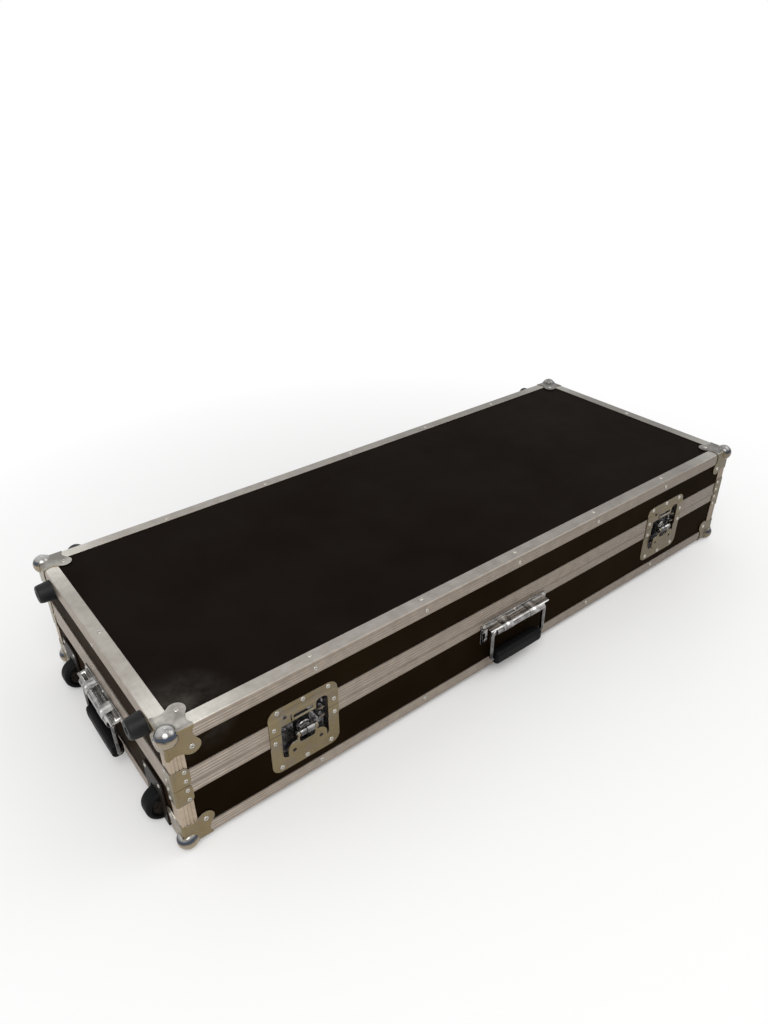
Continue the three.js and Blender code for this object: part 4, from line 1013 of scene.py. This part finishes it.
def latch_wing(side, place):
    """Wing with two finger holes, and the two eyes that turn on the spindle's pin."""
    thick, inner, outer = 2.5, 12.4, 16.6
    half, foot, shoulder, neck = 32.0, HUB - 40, HUB - 10, HUB - 16
    right = [(half, foot, 13), (half, shoulder, 12.5), (outer, shoulder, 2), (outer, HUB, 0),
             (inner, HUB, 0), (inner, neck, 4)]
    loop = outline([*right, *((-x, y, radius) for x, y, radius in reversed(right))], 9)
    holes = [circle(sign * 22, HUB - 25, 3.0) for sign in (-1, 1)]
    parts = [plate([loop, *holes], thick, 0.9, both=True, back=BARREL_OUT - thick / 2)]
    for sign in (-1, 1):
        eye = sleeve(2.5, 4.2, 4.6, outer - inner)
        parts.append(crosswise(eye, sign * (inner + outer) / 2, HUB, BARREL_OUT))
    piece(f"latch_wing_pressing_{side}", parts, "zinc", f"wing_{side}", [f"latch_wing_{side}"],
          place=place)


def latches():
    for side, x in (("left", -LATCH_X), ("right", LATCH_X)):
        place = on_face("front", x)
        latch_dish(side, x, place)
        latch_keeper(side, x, place)
        latch_spindle(side, place)
        latch_wing(side, place)


# The handle: how far out and how high its bail's axis lies, the wire's radius, the room round the
# wire inside the hood, the hood's sheet, and the height of the grip's middle
HANDLE_OUT = 13.0
HANDLE_AXIS = PARTING - 20
WIRE = 3.7
WIRE_ROOM = 1.8
HOOD_SHEET = 1.6
GRIP_UP = HANDLE_AXIS - 58


def hood_section(turn_end, grow=0.0, thick=HOOD_SHEET, root_out=1.5):
    """Section of the rolled hood, as (out, up) points."""
    inner = WIRE + WIRE_ROOM + grow
    root = HANDLE_AXIS + inner + 2 * HOOD_SHEET
    turn = arc(0, turn_end, 18)
    top, under = [Vector((root_out, root))], [Vector((root_out, root - thick))]
    for radius, points in ((inner + thick, top), (inner, under)):
        points.extend(Vector((HANDLE_OUT + radius * s, HANDLE_AXIS + radius * c)) for c, s in turn)
    return top + under[::-1]


def handle_plate(name, side, place):
    """Plate with two slotted ears, the hood rolled over the bail and the straps over the hood."""
    half, ear = 76.0, 16.0
    head, foot, ear_foot = PARTING - 5.5, PARTING - 22, PARTING - 48
    left = [(-half, head, 5), (-half, ear_foot, 6), (-half + ear, ear_foot, 6), (-half + ear, foot, 2)]
    loop = outline([*left, *((-x, y, radius) for x, y, radius in reversed(left))], 6)
    roll_half, shelf_half, strap_at, strap_half, slot_half = 55.6, 68.0, 31.0, 10.5, 2.5
    roll = prism(hood_section(150), -roll_half, roll_half)
    slots, shelves, straps = [], [], []
    for sign in (-1, 1):
        middle = sign * (half - ear / 2)
        slot = rectangle(middle - slot_half, middle + slot_half, PARTING - 41, PARTING - 27, 2.45)
        slots.append(slot[::-1])
        shelves.append(prism(hood_section(36), *sorted((sign * roll_half, sign * shelf_half))))
        strap = hood_section(150, grow=1.5, thick=0.8, root_out=2.2)
        straps.append(prism(strap, sign * strap_at - strap_half, sign * strap_at + strap_half))
    sheet = stepped(plate([loop, *slots], 2.0, 0.5), PARTING - BASE_BAND - SEAM, -1)
    piece(f"{name}_handle_pressing", [sheet, roll, *shelves], "bright plate", "base",
          [f"{name}_handle_plate"], place=place)
    piece(f"{name}_handle_straps", straps, "strap plate", "base", place=place)
    for across, height, radius in ((-69.5, 95.0, 3.7), (0, 98.4, 3.0), (69.5, 95.0, 3.7)):
        rivet("base", side, across, height, 2.0, radius)


def handle_bail(name, place):
    """Round wire bent to a closed frame, whose lower length lies in the grip."""
    half, elbow = 61.0, 9.0
    path = [Vector((*p, HANDLE_OUT)) for p in rectangle(-half, half, GRIP_UP, HANDLE_AXIS, elbow, 8)]
    piece(f"{name}_handle_wire", [tube(path, WIRE, 18, closed=True)], "chrome", f"{name}_bail",
          [f"{name}_handle_bail"], place=place)


def handle_grip(name, place):
    """Moulded grip: rounded section, fuller in the middle, with a ribbed band at each end."""
    half, tall, deep = 53.0, 25.0, 19.0
    section = rectangle(-deep / 2, deep / 2, -tall / 2, tall / 2, 7.0, 6)
    stations = [(0.0, 0.72), (0.6, 0.84), (1.6, 0.92), (3.0, 0.965), (6.0, 0.97)]
    for rib in range(4):
        at = 7.0 + 3.2 * rib
        stations += [(at, 0.975), (at + 0.6, 0.94), (at + 1.3, 0.94), (at + 1.9, 0.975)]
    stations += [(22.0, 0.98), (34.0, 0.995), (half, 1.0)]
    full = [(-half + at, grow) for at, grow in stations]
    full += [(-across, grow) for across, grow in reversed(full[:-1])]
    rings = []
    for across, grow in full:
        rings.append([[Vector((across, GRIP_UP + p.y * grow, HANDLE_OUT + p.x * grow)) for p in section]])
    piece(f"{name}_handle_moulding", [stacked(rings)], "grip rubber", f"{name}_bail",
          [f"{name}_handle_grip"], crease=50, place=place)


def handles():
    for name, side in (("front", "front"), ("end", "left")):
        place = on_face(side)
        handle_plate(name, side, place)
        handle_bail(name, place)
        handle_grip(name, place)


WHEEL_RADIUS = 25.0
WHEEL_IN = 2.0
WHEEL_HEIGHT = 18.0


def wheels():
    """Tyres on ribbed hubs, and their axles."""
    tread = [(16.5, -9.6), (17.4, -11.6), (18.6, -12.5), (20.6, -12.5), (22.6, -11.9), (24.0, -10.4),
             (24.8, -8.2), (WHEEL_RADIUS, -5.5)]
    tyre = lathe(mirrored(tread) + [(14.0, 9.0), (14.0, -9.0), tread[0]], 64)
    hub_face = [(4.3, -12.4), (7.6, -12.4), (8.4, -11.6), (9.0, -9.9), (15.6, -9.2), (16.9, -9.2)]
    hub = [lathe(mirrored(hub_face) + hub_face[:1], 48)]
    spoke = plate([rectangle(8.2, 15.2, -1.1, 1.1, 0.9, 3)], 1.6, 0.5, back=9.0)
    for k in range(6):
        for half_turn in (math.pi, 0):
            turn = Matrix.Rotation(math.pi * k / 3, 4, "Z") @ Matrix.Rotation(half_turn, 4, "X")
            hub.append(placed(spoke, turn))
    axle = lathe(mirrored([(0, -17.5), (3.4, -17.5), (4.0, -16.9)]), 24)
    for name, y in (("front", -WHEEL_Y), ("back", WHEEL_Y)):
        place = Matrix.Translation((-HALF_X + WHEEL_IN, y, WHEEL_HEIGHT))
        place = place @ Matrix.Rotation(math.pi / 2, 4, "X")
        node = f"wheel_{name}"
        piece(f"wheel_tyre_{name}", [tyre], "grip rubber", node, [node], crease=50, place=place)
        piece(f"wheel_hub_{name}", hub, "plastic", node, [node], place=place)
        piece(f"wheel_axle_turned_{name}", [axle], "steel", "base", [f"wheel_axle_{name}"], place=place)


def slab(x0, x1, y0, y1, z1):
    """Wall of a housing that stands on the case's underside."""
    return plate([rectangle(x0, x1, y0, y1)], z1, 0.3, both=True, steps=1)


def housings():
    """Black housings: a flange on the end, one underneath, and the pocket's walls."""
    wall, opening, clearance = 2.5, 15.0, 4.0
    half, head, under_reach = 30.0, 78.0, 56.0
    top = WHEEL_HEIGHT + WHEEL_RADIUS + clearance
    deep = WHEEL_IN + WHEEL_RADIUS + clearance
    loop = outline([
        (-half, -wall, 0), (-opening, -wall, 0), (-opening, top, 9), (opening, top, 9),
        (opening, -wall, 0), (half, -wall, 0), (half, head, 8), (-half, head, 8),
    ], 7)
    flange = plate([loop], wall, 0.7)
    below = outline([
        (-half, wall, 0), (-half, -under_reach, 8), (half, -under_reach, 8), (half, wall, 0),
        (opening, wall, 0), (opening, -deep, 3), (-opening, -deep, 3), (-opening, wall, 0),
    ], 7)
    bottom = mapped(plate([below], wall, 0.7), lambda u, v, w: (-v, u, -w))
    side = opening + wall
    walls = [
        slab(0, deep, -side, -opening, top + wall), slab(0, deep, opening, side, top + wall),
        placed(slab(0, deep, -opening, opening, wall), Matrix.Translation((0, 0, top))),
        slab(deep, deep + wall, -side, side, top + wall),
    ]
    rivet_side, rivet_up, rivet_in, radius = 22.0, 70.0, 46.0, 3.2
    for name, y in (("front", -WHEEL_Y), ("back", WHEEL_Y)):
        corner = Matrix.Translation((-HALF_X, y, 0))
        parts = [placed(flange, on_face("left", -y)), *(placed(part, corner) for part in (bottom, *walls))]
        piece(f"wheel_housing_moulding_{name}", parts, "plastic", "base", [f"wheel_housing_{name}"])
        for across in (-rivet_side, rivet_side):
            rivet("base", "left", -y + across, rivet_up, wall, radius)
            rivet("base", "under", -HALF_X + rivet_in, -(y + across), wall, radius)


def feet():
    """Rubber feet, each with a screw at the bottom of its well."""
    foot = lathe([(0, 0), (16.5, 0), (16.5, 1.5), (16.2, 2.1), (15.8, 7), (14.9, 17), (14.4, 20),
                  (13.6, 21.8), (12.4, 22.7), (11.2, 23), (6.4, 23), (5.4, 22.6), (5, 21.8), (5, 15),
                  (0, 15)], 48)
    screw = lathe([(4.7, 15), (4.7, 15.8), (4.4, 16.1), (3.8, 16.1), (3.6, 16.7), (2.7, 17.8),
                   (1.2, 18.3), (1.0, 17.5), (0, 17.5)])
    for name in ("end_foot_front", "end_foot_back", "back_foot_left", "back_foot_right"):
        middle = middle_of(name)
        if name.startswith("end"):
            place = on_face("left", -middle.y, middle.z)
        else:
            place = on_face("back", -middle.x, middle.z)
        piece(f"{name}_moulding", [foot], "rubber", "lid", [name], crease=45, place=place)
        piece(f"{name}_screw", [screw], "steel", "lid", place=place)


def hinges():
    """Back hinges: a leaf on each half with its knuckles, and the pin."""
    half, sheet, barrel, axis_out, knuckles = 32.0, 2.0, 5.0, 6.0, 5
    axis_up = PARTING + GAP / 2
    pitch = 2 * half / knuckles
    knuckle = sleeve(2.8, 4.6, barrel, pitch - SEAM)
    end = half + SEAM
    pin = lathe(mirrored([(0, -end - 1.2), (2.6, -end - 1.1), (3.6, -end - 0.5), (3.6, -end), (2.5, -end)]))
    leaves = (("base", PARTING - 14, PARTING, 3, 0, PARTING - 8),
              ("lid", LID_START, LID_START + 23, 0, 3, LID_START + 16))
    for side in ("left", "right"):
        across = -middle_of(f"hinge_pin_{side}").x
        place = on_face("back", across)
        for first, (body, foot, head, foot_round, head_round, rivets_up) in enumerate(leaves):
            loop = outline([(-half, foot, foot_round), (half, foot, foot_round),
                            (half, head, head_round), (-half, head, head_round)])
            parts = [plate([loop], sheet, 0.5)]
            for k in range(first, knuckles, 2):
                parts.append(crosswise(knuckle, -half + pitch * (k + 0.5), axis_up, axis_out))
            piece(f"hinge_{body}_leaf_turned_{side}", parts, "zinc", body,
                  [f"hinge_{body}_leaf_{side}"], place=place)
            for at in (-23.0, 0.0, 23.0):
                rivet(body, "back", across + at, rivets_up, sheet, HINGE_RIVET)
        piece(f"hinge_pin_turned_{side}", [crosswise(pin, 0, axis_up, axis_out)], "steel", "base",
              [f"hinge_pin_{side}"], place=place)


def foam_tray():
    """Tray that holds the keyboard: the CAD solid's shape with soft rounded edges."""
    name = "base_foam_tray"
    shape = bmesh.new()
    shape.from_mesh(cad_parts[name].data)
    bmesh.ops.remove_doubles(shape, verts=shape.verts, dist=1e-5)
    bmesh.ops.dissolve_limit(shape, angle_limit=math.radians(1), verts=shape.verts, edges=shape.edges)
    mesh = bpy.data.meshes.new("foam_tray")
    shape.to_mesh(mesh)
    shape.free()
    mesh.shade_smooth()
    dressed("foam_tray", mesh, "foam", "base", [name], bevel=0.0022)


def foam_sheet():
    """Lid foam with a profiled underside, in rows of rounded peaks."""
    name = "lid_foam_sheet"
    low, high = ((corner - ORIGIN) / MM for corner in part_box(name))
    pitch, cell, wave, edge, fade = 42.0, 7.0, 13.0, 6.0, 14.0
    columns = round((high.x - low.x) / cell)
    rows = round((high.y - low.y) / cell)
    verts = []
    for j in range(rows + 1):
        for i in range(columns + 1):
            x = low.x + (high.x - low.x) * i / columns
            y = low.y + (high.y - low.y) * j / rows
            peak = (math.cos(2 * math.pi * x / pitch) * math.cos(2 * math.pi * y / pitch) + 1) / 2
            rim = min(x - low.x, high.x - x, y - low.y, high.y - y)
            lift = wave * (1 - peak) * min(1.0, rim / fade) + max(0.0, edge - rim) ** 2 / edge / 3
            verts.append(Vector((x, y, low.z + lift)))
    across, count = columns + 1, len(verts)
    faces = net(rows + 1, across, closed=False)
    border = [*range(across), *range(across + columns, count, across),
              *range(count - 2, count - across - 1, -1), *range(count - 2 * across, 0, -across)]
    verts += [Vector((*verts[i].xy, high.z)) for i in border]
    for k, here in enumerate(border):
        after = (k + 1) % len(border)
        faces.append((here, border[after], count + after, count + k))
    faces.append(tuple(range(count, len(verts))))
    piece("lid_foam_profiled", [(verts, faces)], "foam", "lid", [name], crease=60)


def cad_finishes():
    """CAD nodes whose shape is right get their material."""
    for name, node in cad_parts.items():
        board = name.endswith("_panel") or name == "base_floor"
        if board or name.startswith("latch_hook"):
            node.data.materials.clear()
            node.data.materials.append(FINISHES["laminate" if board else "steel"])


def floor():
    """Pale floor that keeps the shadow near the case and fades to the white background."""
    reach = 9.0
    mesh = bpy.data.meshes.new("floor")
    corners_of = [(-reach, -reach, 0), (reach, -reach, 0), (reach, reach, 0), (-reach, reach, 0)]
    mesh.from_pydata(corners_of, [], [(0, 1, 2, 3)])
    obj = bpy.data.objects.new("floor", mesh)
    bpy.context.scene.collection.objects.link(obj)
    s = Shader("floor", Roughness=0.9, Specular_IOR_Level=0.1, Base_Color=(0.93, 0.93, 0.925))
    away = s.add("ShaderNodeVectorMath", {0: s.place}, operation="LENGTH").outputs["Value"]
    share = s.times(s.seen(), s.ramp(away, 0.5, 1.15))
    white = s.add("ShaderNodeEmission", {"Color": (1, 1, 1), "Strength": 1.0})
    mix = s.add("ShaderNodeMixShader", {0: share, 1: s.surface.outputs[0], 2: white.outputs[0]})
    s.give(s.tree.nodes["Material Output"].inputs["Surface"], mix.outputs[0])
    mesh.materials.append(s.material)


def background():
    """White where it is seen, and a plain level of light elsewhere."""
    world = bpy.data.worlds.new("studio")
    bpy.context.scene.world = world
    world.use_nodes = True
    nodes = Nodes(world.node_tree)
    surface = nodes.tree.nodes["Background"].inputs
    nodes.give(surface["Color"], (1, 1, 1))
    nodes.give(surface["Strength"], nodes.ramp(nodes.seen(), 0.0, 1.0, 0.6, 1.0))


def lamps():
    """Soft round lamps, all aimed at the case: name, place, size and power."""
    aim = Vector((0, 0, 0.1))
    for name, place, size, power in (
        ("key", (-1.6, -2.2, 3.2), 3.2, 75.0),
        ("fill", (2.4, -1.2, 2.6), 3.0, 22.0),
        ("rim", (-0.03, 1.75, 2.3), 1.0, 1.6),
    ):
        data = bpy.data.lights.new(name, "AREA")
        data.shape = "DISK"
        data.size = size
        data.energy = power
        lamp = bpy.data.objects.new(name, data)
        lamp.location = place
        lamp.rotation_euler = (aim - lamp.location).to_track_quat("-Z", "Y").to_euler()
        bpy.context.scene.collection.objects.link(lamp)


def camera():
    """Camera fitted to the box's edges in the photograph."""
    focal_pixels, frame_tall = 770.8, 1024
    data = bpy.data.cameras.new("camera")
    data.sensor_fit = "VERTICAL"
    data.sensor_height = 36.0
    data.lens = focal_pixels / frame_tall * data.sensor_height
    data.clip_start = 0.05
    data.clip_end = 60
    right = Vector((0.78662387, -0.61738489, -0.0076672))
    up = Vector((0.32521772, 0.40374764, 0.85511478))
    matrix = Matrix((right, up, right.cross(up))).transposed().to_4x4()
    matrix.translation = ORIGIN + Vector((-0.78855, -0.90296, 0.89909))
    view = bpy.data.objects.new("camera", data)
    view.matrix_world = matrix
    bpy.context.scene.collection.objects.link(view)
    bpy.context.scene.camera = view


camera()
edges()
rims()
braces()
corners()
latches()
handles()
wheels()
housings()
feet()
hinges()
foam_tray()
foam_sheet()
edge_rivets()
for rider, heads in rivets.items():
    piece(f"rivets_{rider}", heads, "rivet steel", rider)
cad_finishes()
floor()
background()
lamps()
bpy.context.scene.view_settings.view_transform = "Standard"
